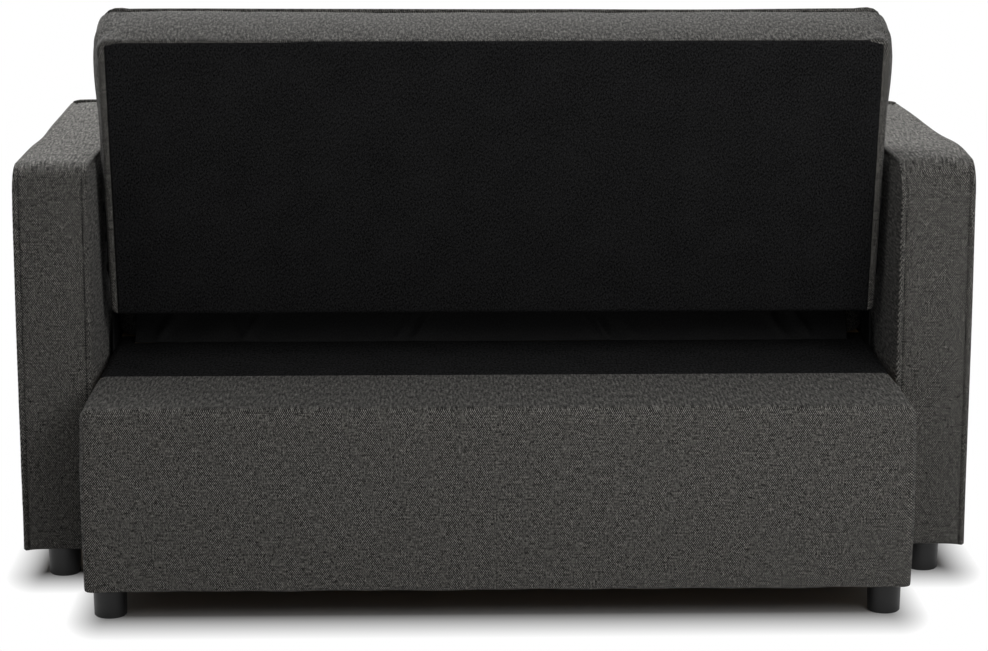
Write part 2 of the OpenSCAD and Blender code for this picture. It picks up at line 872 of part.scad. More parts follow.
// Fixed plate on the side of the base, with the pawl's pin hole and the spring's post
module hinge_plate(side) {
    foot = hinge_z - deck_z + plate_foot_z;
    color(black_steel_colour) on_side(side) difference() {
        union() {
            at_hinge() plate(base_plate_x, plate_t) {
                circle(plate_head_r);
                polygon([
                    [-plate_foot_w / 2, -foot], [plate_foot_w / 2, -foot],
                    [plate_foot_w / 2, deck_z - hinge_z], [plate_head_r, 0],
                    [-plate_head_r, 0], [-plate_foot_w / 2, deck_z - hinge_z]
                ]);
                bar_2d([[0, pawl_z], [pawl_y, pawl_z]], 2 * pawl_boss_r);
                bar_2d([[pawl_y, pawl_z], [spring_post_y, spring_post_z]], spring_post_w);
            }
            at_hinge() plate(arm_plate_x, base_plate_x + plate_t - arm_plate_x)
                translate([spring_post_y - spring_post_w / 2, spring_post_z - spring_post_w / 2])
                    square(spring_post_w);
        }
        at_hinge() rod_x(base_plate_x - cut, plate_t + 2 * cut, pin_r + run_clear);
        at_hinge() rod_x(base_plate_x - cut, plate_t + 2 * cut, pawl_pin_r + run_clear, pawl_y, pawl_z);
        hinge_bolt_holes(base_plate_x, plate_t);
    }
}

// Pivot rivets of the backrest and of the pawls
module hinge_rivets() {
    inner = arm_plate_x;
    outer = base_plate_x + plate_t;
    color(black_steel_colour) both_sides() at_hinge() {
        rod_x(inner, outer - inner, pin_r);
        rod_x(outer, rivet_head_h, rivet_head_r);
        rod_x(inner, outer - inner, pawl_pin_r, pawl_y, pawl_z);
        rod_x(outer, rivet_head_h, pawl_boss_r, pawl_y, pawl_z);
    }
}

module hinge_bolts() {
    outer = base_plate_x + plate_t;
    color(steel_colour) both_sides() hinge_bolt_places() {
        rod_x(outer, low_head_h, bolt_head_r);
        rod_x(side_in, outer - side_in, hinge_bolt_r);
        translate([side_in - nut_h, 0, 0]) rotate([0, 90, 0]) cylinder(r = nut_r, h = nut_h, $fn = 6);
    }
}

// Pawl: its nose lies just clear of the teeth, where the spring leaf holds it
module pawl(side) {
    nose = [0, -disc_r - pawl_clear];
    color(black_steel_colour) on_side(side) at_hinge() plate(arm_plate_x, plate_t) difference() {
        union() {
            translate([pawl_y, pawl_z]) circle(pawl_boss_r);
            bar_2d([[pawl_y, pawl_z], pawl_end], pawl_w);
            polygon([pawl_end + [pawl_w / 3, 0], nose, pawl_end - [pawl_w / 3, 0]]);
        }
        translate([pawl_y, pawl_z]) circle(pawl_pin_r + run_clear);
    }
}

// Leaf that presses the pawl up
module pawl_spring(side) {
    x = arm_plate_x + (plate_t - spring_w) / 2;
    reach = (pawl_w + spring_t) / 2 + seat_gap;
    low = spring_post_z - (spring_post_w + spring_t) / 2 - run_clear;
    route = [
        [spring_post_y - spring_post_w / 2, low], [spring_post_y + spring_post_w / 2, low],
        [pawl_y + spring_t, pawl_z - 2 * pawl_boss_r + spring_t], [pawl_end[0], pawl_z - spring_t],
        pawl_end + reach * [cos(spring_tip_turn), sin(spring_tip_turn)]
    ];
    color(black_steel_colour) on_side(side) at_hinge() plate(x, spring_w) strip_2d(route, spring_t);
}

// Pull-out bed
module pullout_front_board() {
    half = arm_in - pullout_panel_side;
    color(ply_colour) span(
        [-half, pullout_front_y + pullout_pad_t, pullout_panel_z], [half, pullout_board_y, panel_top]
    );
}

module pullout_front_pad() {
    half = arm_in - pullout_panel_side;
    h = panel_top - pullout_panel_z;
    color(fabric_colour)
        translate([0, pullout_front_y + pullout_pad_t, pullout_panel_z + h / 2]) rotate([90, 0, 0])
            pad(2 * half, h, pullout_pad_t - pad_thin_crown, pad_thin_r, pad_thin_foot,
                pad_thin_edge, pad_thin_crown, pad_thin_draw);
}

module pullout_sides() {
    inner = pullout_half - pullout_side_t;
    color(timber_colour) both_sides() difference() {
        span([inner, pullout_board_y, pullout_side_z], [pullout_half, pullout_rear_y, pullout_slat_z]);
        rod_x(inner - cut, pullout_side_t + 2 * cut, axle_r + run_clear, roller_y, roller_z);
    }
}

// Rear rail, and a rail along the middle
module pullout_rails() {
    inner = pullout_half - pullout_side_t;
    color(timber_colour) {
        span(
            [-inner, pullout_rear_y - rear_rail_t, pullout_side_z],
            [inner, pullout_rear_y, pullout_slat_z]
        );
        span(
            [-mid_rail_w / 2, pullout_board_y, pullout_side_z],
            [mid_rail_w / 2, pullout_rear_y - rear_rail_t - seat_gap, pullout_slat_z]
        );
    }
}

module pullout_slats() {
    first = pullout_board_y + pullout_slat_w / 2;
    last = pullout_rear_y - pullout_slat_w / 2;
    color(timber_colour) for (i = [0:pullout_slat_count - 1]) {
        y = first + (last - first) * i / (pullout_slat_count - 1);
        span(
            [-pullout_half, y - pullout_slat_w / 2, pullout_slat_z],
            [pullout_half, y + pullout_slat_w / 2, pullout_bed_z]
        );
    }
}

module pullout_mattress() {
    front = pullout_board_y + seat_gap;
    d = pullout_rear_y - front;
    h = pullout_bed_top - pullout_bed_z - pullout_crown;
    color(fabric_colour) translate([0, front + d / 2, pullout_bed_z])
        pad(2 * (pullout_half - pullout_bed_side), d, h, seat_corner_r, seat_foot_r,
            seat_edge_r, pullout_crown, seat_draw);
}

// Loop of webbing to pull the bed out by
module pull_strap() {
    y = pullout_front_y - seat_gap;
    color(lining_colour) {
        span(
            [-strap_webbing_w / 2, y - 2 * strap_webbing_t, panel_top - strap_drop],
            [strap_webbing_w / 2, y, panel_top + strap_webbing_t]
        );
        span(
            [-strap_webbing_w / 2, y, panel_top],
            [strap_webbing_w / 2, pullout_board_y, panel_top + strap_webbing_t]
        );
    }
}

module wheel_brackets() {
    x = pullout_half - pullout_side_t - bracket_t;
    color(steel_colour) both_sides() difference() {
        plate_low = wheel_d / 2 - axle_head_r - axle_r;
        span(
            [x, wheel_y - bracket_w / 2, plate_low],
            [x + bracket_t, wheel_y + bracket_w / 2, pullout_slat_z]
        );
        rod_x(x - cut, bracket_t + 2 * cut, axle_r + run_clear, wheel_y, wheel_d / 2);
    }
}

// Axles of the front wheels and of the rear rollers
module pullout_axles() {
    inner = pullout_half - pullout_side_t;
    wheel_x = inner - bracket_t - wheel_side_gap - wheel_w;
    wheel_span = wheel_w + 2 * wheel_side_gap + bracket_t;
    roller_end = pullout_half + roller_gap + roller_w + wheel_side_gap;
    color(steel_colour) both_sides() {
        rod_x(wheel_x - wheel_side_gap - axle_head_h, axle_head_h, axle_head_r, wheel_y, wheel_d / 2);
        rod_x(wheel_x - wheel_side_gap, wheel_span, axle_r, wheel_y, wheel_d / 2);
        rod_x(inner - axle_head_h, axle_head_h, axle_head_r, roller_y, roller_z);
        rod_x(inner, roller_end - inner, axle_r, roller_y, roller_z);
        rod_x(roller_end, runner_t, axle_head_r, roller_y, roller_z);
    }
}

// Wheel with a rounded tread, a hub and a thinner web
module round_wheel(x, w, d, y, z, recess) {
    r = d / 2;
    translate([x, y, z]) rotate([0, 90, 0]) difference() {
        rotate_extrude($fn = 64) difference() {
            union() {
                translate([0, tread_r]) square([r, w - 2 * tread_r]);
                square([r - tread_r, w]);
                for (h = [tread_r, w - tread_r]) translate([r - tread_r, h]) circle(tread_r);
            }
            translate([-r, -cut]) square([r, w + 2 * cut]);
            square([axle_r + run_clear, w]);
            if (recess) {
                translate([hub_r, -cut]) square([r - hub_r - 2 * tread_r, web_in + cut]);
                translate([hub_r, w - web_in]) square([r - hub_r - 2 * tread_r, web_in + cut]);
            }
        }
        translate([0, 0, -cut]) cylinder(r = axle_r + run_clear, h = w + 2 * cut);
    }
}

module wheel(side) {
    x = pullout_half - pullout_side_t - bracket_t - wheel_side_gap - wheel_w;
    color(rubber_colour) on_side(side) round_wheel(x, wheel_w, wheel_d, wheel_y, wheel_d / 2, true);
}

module roller(side) {
    color(plastic_colour) on_side(side)
        round_wheel(pullout_half + roller_gap, roller_w, roller_d, roller_y, roller_z, false);
}

side_panel(left);  // side_panel_left
side_panel(right);  // side_panel_right
rear_board();
deck_board();
cross_rails();
mid_bearer();
seat_slats();
corner_blocks();
runner(left);  // runner_left
runner(right);  // runner_right
rear_cover();
deck_lining();
seat_flap();
seat_mattress();
leg(left * base_leg_x, base_leg_y);  // base_leg_left
leg(right * base_leg_x, base_leg_y);  // base_leg_right
leg(left * arm_leg_x, arm_leg_rear_y);  // arm_leg_rear_left
leg(right * arm_leg_x, arm_leg_rear_y);  // arm_leg_rear_right
leg(left * arm_leg_x, arm_leg_front_y);  // arm_leg_front_left
leg(right * arm_leg_x, arm_leg_front_y);  // arm_leg_front_right
leg_screws();
hinge_plate(left);  // hinge_plate_left
hinge_plate(right);  // hinge_plate_right
hinge_rivets();
hinge_bolts();
pawl_spring(left);  // pawl_spring_left
pawl_spring(right);  // pawl_spring_right
arm_cover(left);  // arm_cover_left
arm_cover(right);  // arm_cover_right
arm_frame(left);  // arm_frame_left
arm_frame(right);  // arm_frame_right
arm_boards(left);  // arm_boards_left
arm_boards(right);  // arm_boards_right
arm_battens();
arm_bolts();
backrest_rails();
backrest_stiles();
backrest_board();
backrest_lining();
backrest_webbing();
backrest_cushion();
backrest_cover();
ratchet_arm(left);  // ratchet_arm_left
ratchet_arm(right);  // ratchet_arm_right
ratchet_screws();
pawl(left);  // pawl_left
pawl(right);  // pawl_right
pullout_front_board();
pullout_front_pad();
pullout_sides();
pullout_rails();
pullout_slats();
pullout_mattress();
pull_strap();
wheel_brackets();
pullout_axles();
wheel(left);  // wheel_left
wheel(right);  // wheel_right
roller(left);  // roller_left
roller(right);  // roller_right
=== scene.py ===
# Two-seat sofa bed: covers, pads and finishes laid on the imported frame
import math
from functools import partial

import bmesh
import bpy
import numpy as np
from mathutils import Matrix, Vector
from mathutils.bvhtree import BVHTree


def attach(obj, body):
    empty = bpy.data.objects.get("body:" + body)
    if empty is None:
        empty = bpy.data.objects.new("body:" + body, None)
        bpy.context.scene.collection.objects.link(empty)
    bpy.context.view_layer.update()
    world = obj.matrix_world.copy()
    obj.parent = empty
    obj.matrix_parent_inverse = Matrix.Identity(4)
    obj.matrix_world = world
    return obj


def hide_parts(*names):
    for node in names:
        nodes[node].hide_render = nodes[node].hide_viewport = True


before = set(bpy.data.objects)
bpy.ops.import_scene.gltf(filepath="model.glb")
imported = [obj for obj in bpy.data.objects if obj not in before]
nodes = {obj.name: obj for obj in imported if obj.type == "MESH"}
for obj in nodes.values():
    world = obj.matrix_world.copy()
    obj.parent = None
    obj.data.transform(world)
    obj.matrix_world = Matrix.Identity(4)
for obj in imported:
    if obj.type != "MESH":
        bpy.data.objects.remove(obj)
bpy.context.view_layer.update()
scene = bpy.context.scene
print("frame loaded:", len(nodes), "nodes")


# Helpers for working by selection

def selectOnly(piece):
    bpy.ops.object.select_all(action="DESELECT")
    piece.select_set(True)
    bpy.context.view_layer.objects.active = piece


def editMode(piece):
    selectOnly(piece)
    bpy.ops.object.mode_set(mode="EDIT")
    bpy.ops.mesh.select_all(action="SELECT")


def objectMode():
    bpy.ops.object.mode_set(mode="OBJECT")


def pick(piece, kind, test):  # selects what lies where the test says, by place and direction
    bpy.ops.mesh.select_mode(type=kind)
    bpy.ops.mesh.select_all(action="DESELECT")
    mesh = bmesh.from_edit_mesh(piece.data)
    mesh.normal_update()
    if kind == "FACE":
        found = [(face, face.calc_center_median(), face.normal) for face in mesh.faces]
    elif kind == "EDGE":
        ends = [(edge, *(v.co for v in edge.verts)) for edge in mesh.edges]
        found = [(edge, (a + b) / 2, (b - a).normalized()) for edge, a, b in ends]
    else:
        found = [(vertex, vertex.co, vertex.normal) for vertex in mesh.verts]
    for part, place, way in found:
        part.select_set(bool(test(place, way)))
    mesh.select_flush_mode()
    bmesh.update_edit_mesh(piece.data)


def deleteWhere(piece, kind, test):
    editMode(piece)
    pick(piece, kind, test)
    bpy.ops.mesh.delete(type=kind)
    objectMode()


def faceOutwards(piece):
    editMode(piece)
    bpy.ops.mesh.normals_make_consistent(inside=False)
    objectMode()


def flipFaces(piece):
    editMode(piece)
    bpy.ops.mesh.flip_normals()
    objectMode()


def stretchTo(piece, name, scale):
    piece.name = name
    piece.scale = scale
    bpy.ops.object.transform_apply(location=True, rotation=True, scale=True)
    return piece


def block(name, low, high):
    low, high = Vector(low), Vector(high)
    bpy.ops.mesh.primitive_cube_add(size=1, location=(low + high) / 2)
    return stretchTo(bpy.context.object, name, high - low)


def newObject(name, data):
    piece = bpy.data.objects.new(name, data)
    scene.collection.objects.link(piece)
    return piece


def roundEdges(piece, radius, steps, test):
    editMode(piece)
    pick(piece, "EDGE", test)
    bpy.ops.mesh.bevel(offset=radius, segments=steps, affect="EDGES")
    objectMode()


def cutGrid(piece, axis, cuts):  # adds rows of faces across one axis
    editMode(piece)
    normal = Vector(Matrix.Identity(3)[axis])
    for cut in cuts:
        bpy.ops.mesh.select_all(action="SELECT")
        bpy.ops.mesh.bisect(plane_co=normal * cut, plane_no=normal)
    objectMode()


def cutEvenly(piece, cell, *ranges):
    for axis, low, high in ranges:
        cutGrid(piece, axis, spread(low, high, cell))


def spread(low, high, step):  # even places between two ends, ends left out
    count = max(1, round((high - low) / step))
    return [low + (high - low) * i / count for i in range(1, count)]


def places(piece):
    return np.array([v.co for v in piece.data.vertices], float).reshape(-1, 3)


def movePoints(piece, points):
    piece.data.vertices.foreach_set("co", points.astype(np.float32).ravel())
    piece.data.update()


def portion(values):  # held between none and all
    return np.clip(values, 0, 1)


def take(look, keys):
    return (look[key] for key in keys.split())


def applyAll(piece):
    selectOnly(piece)
    for modifier in list(piece.modifiers):
        bpy.ops.object.modifier_apply(modifier=modifier.name)


def setAll(thing, values):
    for key, value in values.items():
        setattr(thing, key, value)


def addModifier(piece, kind, **values):
    setAll(piece.modifiers.new(kind.lower(), kind), values)


def thicken(piece, thickness, offset=-1):
    addModifier(piece, "SOLIDIFY", thickness=thickness, offset=offset)
    applyAll(piece)


def smoothSkin(piece, levels):  # one finer skin, shaded smooth
    if levels:
        addModifier(piece, "SUBSURF", levels=levels, render_levels=levels)
        applyAll(piece)
    selectOnly(piece)
    bpy.ops.object.shade_smooth()


def layWeave(piece):  # cloth map in metres: each face lies flat along its main direction
    mesh = piece.data
    layer = mesh.uv_layers.new(name="weave")
    for face in mesh.polygons:
        main = max(range(3), key=lambda k: abs(face.normal[k]))
        flat = [k for k in range(3) if k != main]
        for loop, vertex in zip(face.loop_indices, face.vertices):
            layer.data[loop].uv = [mesh.vertices[vertex].co[k] for k in flat]


def weigh(piece, name, shares):  # vertex group in ten steps
    group = piece.vertex_groups.new(name=name)
    steps = np.rint(np.asarray(shares) * 10).astype(int)
    for step in range(1, 11):
        chosen = np.nonzero(steps == step)[0].tolist()
        if chosen:
            group.add(chosen, step / 10, "REPLACE")


def unevenness(piece, height, size, shares):  # soft bumps of the wadding under the cloth
    texture = bpy.data.textures.new(piece.name + "Bumps", "CLOUDS")
    texture.noise_scale = size
    weigh(piece, "soft", shares)
    addModifier(
        piece, "DISPLACE", texture=texture, strength=height, mid_level=0.35,
        texture_coords="LOCAL", vertex_group="soft",
    )
    applyAll(piece)
    piece.vertex_groups.remove(piece.vertex_groups["soft"])


clothLook = {
    "quality": 6, "mass": 0.3, "tension_stiffness": 12, "compression_stiffness": 8,
    "use_pressure": True, "vertex_group_mass": "held",
}
clothFrames = 20


def puff(piece, held, pressure, bending, spare, cap):  # cloth under pressure, held at its seams; the swell is capped
    start = places(piece)
    weigh(piece, "held", held(start))
    settings = piece.modifiers.new("puff", "CLOTH").settings
    setAll(settings, clothLook)
    setAll(settings, {"bending_stiffness": bending, "uniform_pressure_force": pressure, "shrink_min": -spare})
    settings.effector_weights.gravity = 0
    for number in range(1, clothFrames + 1):
        scene.frame_set(number)
    applyAll(piece)
    scene.frame_set(1)
    moved = places(piece) - start
    reach = np.linalg.norm(moved, axis=1)
    share = np.where(reach > 1e-9, cap * np.tanh(reach / cap) / np.maximum(reach, 1e-9), 0)
    movePoints(piece, start + moved * share[:, None])
    piece.vertex_groups.remove(piece.vertex_groups["held"])
    print(piece.name, "puffed by up to", round(float(reach.max()) * 1000, 1), "mm")


def tube(name, route, radius, closed=False):  # cord along a route, made a mesh
    curve = bpy.data.curves.new(name, "CURVE")
    curve.dimensions = "3D"
    curve.bevel_depth = radius
    curve.bevel_resolution = 3
    curve.use_fill_caps = not closed
    spline = curve.splines.new("POLY")
    spline.points.add(len(route) - 1)
    for point, place in zip(spline.points, route):
        point.co = (*place, 1)
    spline.use_cyclic_u = closed
    selectOnly(newObject(name, curve))
    bpy.ops.object.convert(target="MESH")
    bpy.ops.object.shade_smooth()
    return bpy.context.object


def evenRoute(points, step, closed=False):  # the same route with points a step apart
    points = np.array(points + points[:1] if closed else points)
    passed = np.append(0, np.cumsum(np.linalg.norm(np.diff(points, axis=0), axis=1)))
    count = max(2, round(passed[-1] / step))
    wanted = passed[-1] * np.arange(count if closed else count + 1) / count
    return [Vector(p) for p in zip(*(np.interp(wanted, passed, way) for way in points.T))]


def arc(a, b, r, begin, count):  # a quarter of a circle, as pairs
    turns = [math.radians(t) for t in np.linspace(begin, begin + 90, count)]
    return [(a + r * math.cos(t), b + r * math.sin(t)) for t in turns]


def wave(route, height, seed):  # a hand-sewn piping never runs quite straight
    turns = np.arange(len(route)) * 0.061 + seed
    shifts = np.sin(np.stack([turns * 1.7, turns * 2.3 + 1, turns * 1.1 + 2], 1)) * height
    return np.array(route) + shifts


def nudge(piece, centre, reach, shift):  # pushes the cloth softly round one place
    points = places(piece)
    away = ((points - np.array(centre)) / np.array(reach)) ** 2
    movePoints(piece, points + np.exp(-away.sum(1))[:, None] * np.array(shift))


def stitches(name, route, cover, size):  # a row of short threads lying on the cloth along a route
    skin = BVHTree.FromObject(cover, bpy.context.evaluated_depsgraph_get())
    bpy.ops.mesh.primitive_uv_sphere_add(segments=6, ring_count=4, radius=0.5)
    one = bpy.context.object
    points = places(one)
    faces = [list(f.vertices) for f in one.data.polygons]
    bpy.data.objects.remove(one)
    allPoints, allFaces = [], []
    for a, b in zip(route, route[1:]):
        along = (b - a).normalized()
        at, up, _, _ = skin.find_nearest((a + b) / 2)
        if up.z > size["steepest"]:
            continue  # on the top the stitches sink into the pile
        side = along.cross(up).normalized()
        turn = np.array([side, along, side.cross(along)], float)
        shaped = points * np.array([size["thick"], size["length"], size["thick"]])
        base = len(allPoints)
        allPoints.extend((shaped @ turn + np.array(at + up * size["thick"] * 0.2)).tolist())
        allFaces.extend([[v + base for v in f] for f in faces])
    mesh = bpy.data.meshes.new(name)
    mesh.from_pydata(allPoints, [], allFaces)
    piece = newObject(name, mesh)
    faceOutwards(piece)
    bpy.ops.object.shade_smooth()
    return piece


def mirrored(piece, name):  # the same piece for the right-hand side, with its own mesh
    selectOnly(piece)
    bpy.ops.object.duplicate()
    copy = stretchTo(bpy.context.object, name, (-1, 1, 1))
    flipFaces(copy)
    return copy


def markFacing(piece, steep=False):  # how squarely each point faces sideways and up; on the backrest the up share feeds the fabric's painted shade
    normals = np.array([v.normal for v in piece.data.vertices], np.float32)
    sideways, _, up = portion((np.abs(normals) - 0.55) / 0.35).T
    shares = np.stack([sideways, up, 0 * up] if steep else [sideways, 0 * up, up], 1)
    layer = piece.data.attributes.new("facing", "FLOAT_VECTOR", "POINT")
    layer.data.foreach_set("vector", shares.astype(np.float32).ravel())


def finishPiece(piece, material, body):
    if material is greyFabric:
        markFacing(piece, steep=body == "backrest")
    piece.data.materials.clear()
    piece.data.materials.append(material)
    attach(piece, body)


# Materials

graph = {}  # the node tree that is being made


def openTree(owner):
    owner.use_nodes = True
    graph["tree"] = owner.node_tree
    return owner.node_tree.nodes


def newMaterial(name):
    material = bpy.data.materials.new(name)
    return material, openTree(material)["Principled BSDF"].inputs


def feed(socket, value):  # numbers and colours are set, outputs are linked
    if isinstance(value, bpy.types.NodeSocket):
        graph["tree"].links.new(value, socket)
    elif isinstance(value, tuple) and len(value) < len(socket.default_value):
        socket.default_value = (*value, 1)
    else:
        socket.default_value = value


def node(kind, inputs=None, **values):
    made = graph["tree"].nodes.new(kind)
    setAll(made, values)
    for key, value in (inputs or {}).items():
        feed(made.inputs[key], value)
    return made.outputs


def maths(operation, first, *others):  # the operation again for each further value
    if not others:
        return node("ShaderNodeMath", {0: first}, operation=operation)[0]
    for other in others:
        first = node("ShaderNodeMath", {0: first, 1: other}, operation=operation)[0]
    return first


plus, minus, times = (partial(maths, operation) for operation in ("ADD", "SUBTRACT", "MULTIPLY"))


def blend(a, b, share=0.5):
    return plus(times(a, share), times(b, 1 - share))


def objectPlace():
    return node("ShaderNodeTexCoord")["Object"]


def weavePlace():
    return node("ShaderNodeUVMap", uv_map="weave")["UV"]


def apart(vector):
    return node("ShaderNodeSeparateXYZ", {0: vector})


def noise(vector, scale, detail=2.0, rough=0.5, turn=0.0):
    at = node("ShaderNodeMapping", {"Vector": vector, "Scale": scale, "Rotation": (0, 0, turn)})[0]
    return node("ShaderNodeTexNoise", {"Vector": at, "Scale": 1.0, "Detail": detail, "Roughness": rough})["Fac"]


def ramp(value, *stops):
    made = graph["tree"].nodes.new("ShaderNodeValToRGB")
    elements = made.color_ramp.elements
    while len(elements) < len(stops):
        elements.new(0.5)
    for element, (place, colour) in zip(elements, stops):
        element.position = place
        element.color = (*colour, 1)
    feed(made.inputs["Fac"], value)
    return made.outputs["Color"]


def finishShader(shader, height, strength, distance, **values):
    bump = node("ShaderNodeBump", {"Strength": strength, "Distance": distance, "Height": height})
    feed(shader["Normal"], bump["Normal"])
    sockets = {"colour": "Base Color", "rough": "Roughness", "gloss": "Specular IOR Level", "metal": "Metallic"}
    for key, value in values.items():
        feed(shader[sockets[key]], value)


fabricLook = {
    "middle": (0.0806, 0.0777, 0.0721), "across": 0.0014, "along": 0.0021, "wander": 0.0007,
    # painted shade: a key on the next line darkens the colour of the backrest's upward-facing strip
    "weave": 5.3, "yarn": 4.5, "fleck": 9.2, "cloud": 0.3, "grazed": 7.6, "paintedTopShade": 0.37,
    "darkest": 0.06, "sheen": 0.06, "bump": 0.0004,
    "melangeScale": (640, 430, 500), "fleckScale": (430, 270, 380), "cloudScale": (9, 9, 9),
    "slubScale": (420, 90, 200), "pickScale": (90, 420, 200),
    "topGrain": (330, 48, 200), "stripGrain": (300, 110, 200), "sideGrain": (48, 330, 200),
}


def wovenFabric(name, look, fromMap=True):
    material, shader = newMaterial(name)
    cloth = weavePlace() if fromMap else objectPlace()
    u, v, w = apart(cloth)
    if not fromMap:
        u, v = plus(u, w), minus(v, w)
    drifts = noise(cloth, (70, 25, 40)), noise(cloth, (25, 70, 40), turn=1.0)
    u, v = (plus(way, times(drift, look["wander"])) for way, drift in zip((u, v), drifts))
    warp = maths("SINE", times(u, math.pi / look["across"]))
    weft = maths("SINE", times(v, math.pi / look["along"]))
    lattice = times(warp, weft)  # over and under of the threads
    scales = take(look, "melangeScale fleckScale slubScale pickScale")
    melange, flecks, slubs, picks = (noise(cloth, scale, 1.0) for scale in scales)
    clouds = noise(cloth, look["cloudScale"], 3.0)
    value = times(lattice, plus(times(melange, 2.2), -0.1), look["weave"])
    value = plus(value,
        times(minus(flecks, 0.5), look["fleck"]),
        times(minus(plus(slubs, picks), 1.0), look["yarn"]),
        times(minus(clouds, 0.5), look["cloud"]),
    )
    facing = node("ShaderNodeAttribute", attribute_name="facing")["Vector"]
    sideways, strip, up = apart(facing)
    grains = ((look["topGrain"], up), (look["stripGrain"], strip), (look["sideGrain"], sideways))
    for scale, way in grains:  # seen nearly edge-on the grain looks longer
        grain = minus(noise(cloth, scale, 0.0), 0.5)
        value = plus(value, times(grain, way, look["grazed"]))
    value = maths("MAXIMUM", plus(value, 1.0), look["darkest"])
    paintedShade = minus(1.0, times(strip, look["paintedTopShade"]))  # painted shade: the colour of the backrest's upward-facing strip is darkened
    shade = {0: look["middle"], "Scale": times(value, paintedShade)}
    colour = node("ShaderNodeVectorMath", shade, operation="SCALE")[0]
    feed(shader["Sheen Weight"], look["sheen"])
    height = blend(lattice, flecks)
    finishShader(shader, height, 0.35, look["bump"], colour=colour, rough=0.92, gloss=0.2)
    return material


liningLook = {
    "dark": (0.0008, 0.0008, 0.0009), "light": (0.0345, 0.0345, 0.0356), "dotPitch": 0.0011,
    "fibres": (430, 300, 400), "turn": 0.5, "gloss": 0.08, "rough": 0.85,
}
deckFelt = dict(
    liningLook, dark=(0.0003, 0.0003, 0.0004), light=(0.036, 0.036, 0.037), fibres=(330, 105, 300), turn=0.0,
)
# the flap's lining is the black lining made glossier and darker; the gloss is the material's, the darker colour is
# painted shade for its place under the backrest
flapFelt = dict(
    liningLook, dark=(0.0006, 0.0006, 0.0007), light=(0.018, 0.018, 0.0186), gloss=0.2, rough=0.65,
)


def feltLining(name, look):  # pressed black felt with its fine dotted bonding
    material, shader = newMaterial(name)
    cloth = weavePlace()
    turns = 2 * math.pi / look["dotPitch"]
    rows = [maths("SINE", times(way, turns)) for way in apart(cloth)[:2]]
    fibres = noise(cloth, look["fibres"], 2.0, 0.6, look["turn"])
    clouds = noise(cloth, (14, 14, 14), 4.0, 0.6)
    value = blend(fibres, clouds, 0.86)
    colour = ramp(value, (0.36, look["dark"]), (0.64, look["light"]))
    height = plus(fibres, times(*rows, 0.25))
    finishShader(shader, height, 0.5, 0.0006, colour=colour, rough=look["rough"], gloss=look["gloss"])
    return material


def timber(name, colours, grain, rough):  # grain runs along the axis whose scale is small
    material, shader = newMaterial(name)
    at = objectPlace()
    rings = noise(at, grain, 4.0, 0.6)
    pores = noise(at, tuple(g * 6 for g in grain), 2.0, 0.7)
    value = blend(rings, pores, 0.75)
    colour = ramp(value, *zip((0.3, 0.52, 0.72), colours))
    roughness = plus(times(pores, 0.25), rough - 0.12)
    finishShader(shader, value, 0.35, 0.0006, colour=colour, rough=roughness)
    return material


def zincSteel(name):
    material, shader = newMaterial(name)
    at = objectPlace()
    spangle = node("ShaderNodeTexVoronoi", {"Scale": 160, "Vector": at})["Distance"]
    smear = noise(at, (60, 60, 60), 3.0)
    value = blend(spangle, smear)
    colour = ramp(value, (0.2, (0.36, 0.37, 0.38)), (0.7, (0.62, 0.63, 0.64)))
    roughness = plus(times(smear, 0.3), 0.22)
    finishShader(shader, smear, 0.15, 0.0003, colour=colour, rough=roughness, metal=1.0)
    return material


def mouldedPlastic(name, colour, rough, grainScale=900, gloss=0.5):
    material, shader = newMaterial(name)
    at = objectPlace()
    grain = noise(at, (grainScale,) * 3)
    scuff = noise(at, (45, 45, 90), 4.0, 0.7)
    brighter = tuple(min(1.0, c * 1.5 + 0.002) for c in colour)
    shade = ramp(scuff, (0.35, colour), (0.75, brighter))
    roughness = plus(times(scuff, 0.2), rough - 0.1)
    finishShader(shader, grain, 0.25, 0.0003, colour=shade, rough=roughness, gloss=gloss)
    return material


def strapWebbing(name, colours):
    material, shader = newMaterial(name)
    at = objectPlace()
    ribbing = {"Scale": 160, "Distortion": 0.4, "Vector": at}
    ribs = node("ShaderNodeTexWave", ribbing, bands_direction="X")["Fac"]
    fuzz = noise(at, (500, 500, 500), 3.0)
    value = blend(ribs, fuzz)
    colour = ramp(value, (0.2, colours[0]), (0.8, colours[1]))
    finishShader(shader, value, 0.5, 0.0006, colour=colour, rough=0.75)
    return material


greyFabric = wovenFabric("greyFabric", fabricLook)
pipingFabric = wovenFabric("pipingFabric", fabricLook, fromMap=False)
blackLining = feltLining("blackLining", liningLook)
deckLiningFelt = feltLining("deckLiningFelt", deckFelt)
flapLining = feltLining("flapLining", flapFelt)
sewingThread = mouldedPlastic("sewingThread", (0.006, 0.006, 0.006), 0.7, 2500)
strapBlack = strapWebbing("strapBlack", ((0.006, 0.006, 0.007), (0.03, 0.03, 0.032)))
pineColours = ((0.36, 0.22, 0.1), (0.52, 0.35, 0.18), (0.62, 0.46, 0.27))
plyColours = ((0.4, 0.27, 0.14), (0.56, 0.41, 0.24), (0.66, 0.52, 0.34))
pineAlongX = timber("pineAlongX", pineColours, (2.0, 55, 55), 0.6)
pineAlongY = timber("pineAlongY", pineColours, (55, 2.0, 55), 0.6)
pineAlongZ = timber("pineAlongZ", pineColours, (55, 55, 2.0), 0.6)
plywood = timber("plywood", plyColours, (6, 6, 70), 0.65)
zinc = zincSteel("zinc")
legBlack = mouldedPlastic("legBlack", (0.006, 0.006, 0.0062), 0.5, gloss=0.4)
wheelGrey = mouldedPlastic("wheelGrey", (0.028, 0.028, 0.03), 0.62, 1400)
rollerBlack = mouldedPlastic("rollerBlack", (0.012, 0.012, 0.013), 0.4)
blackSteel = mouldedPlastic("blackSteel", (0.005, 0.005, 0.0053), 0.6, 1800, gloss=0.12)

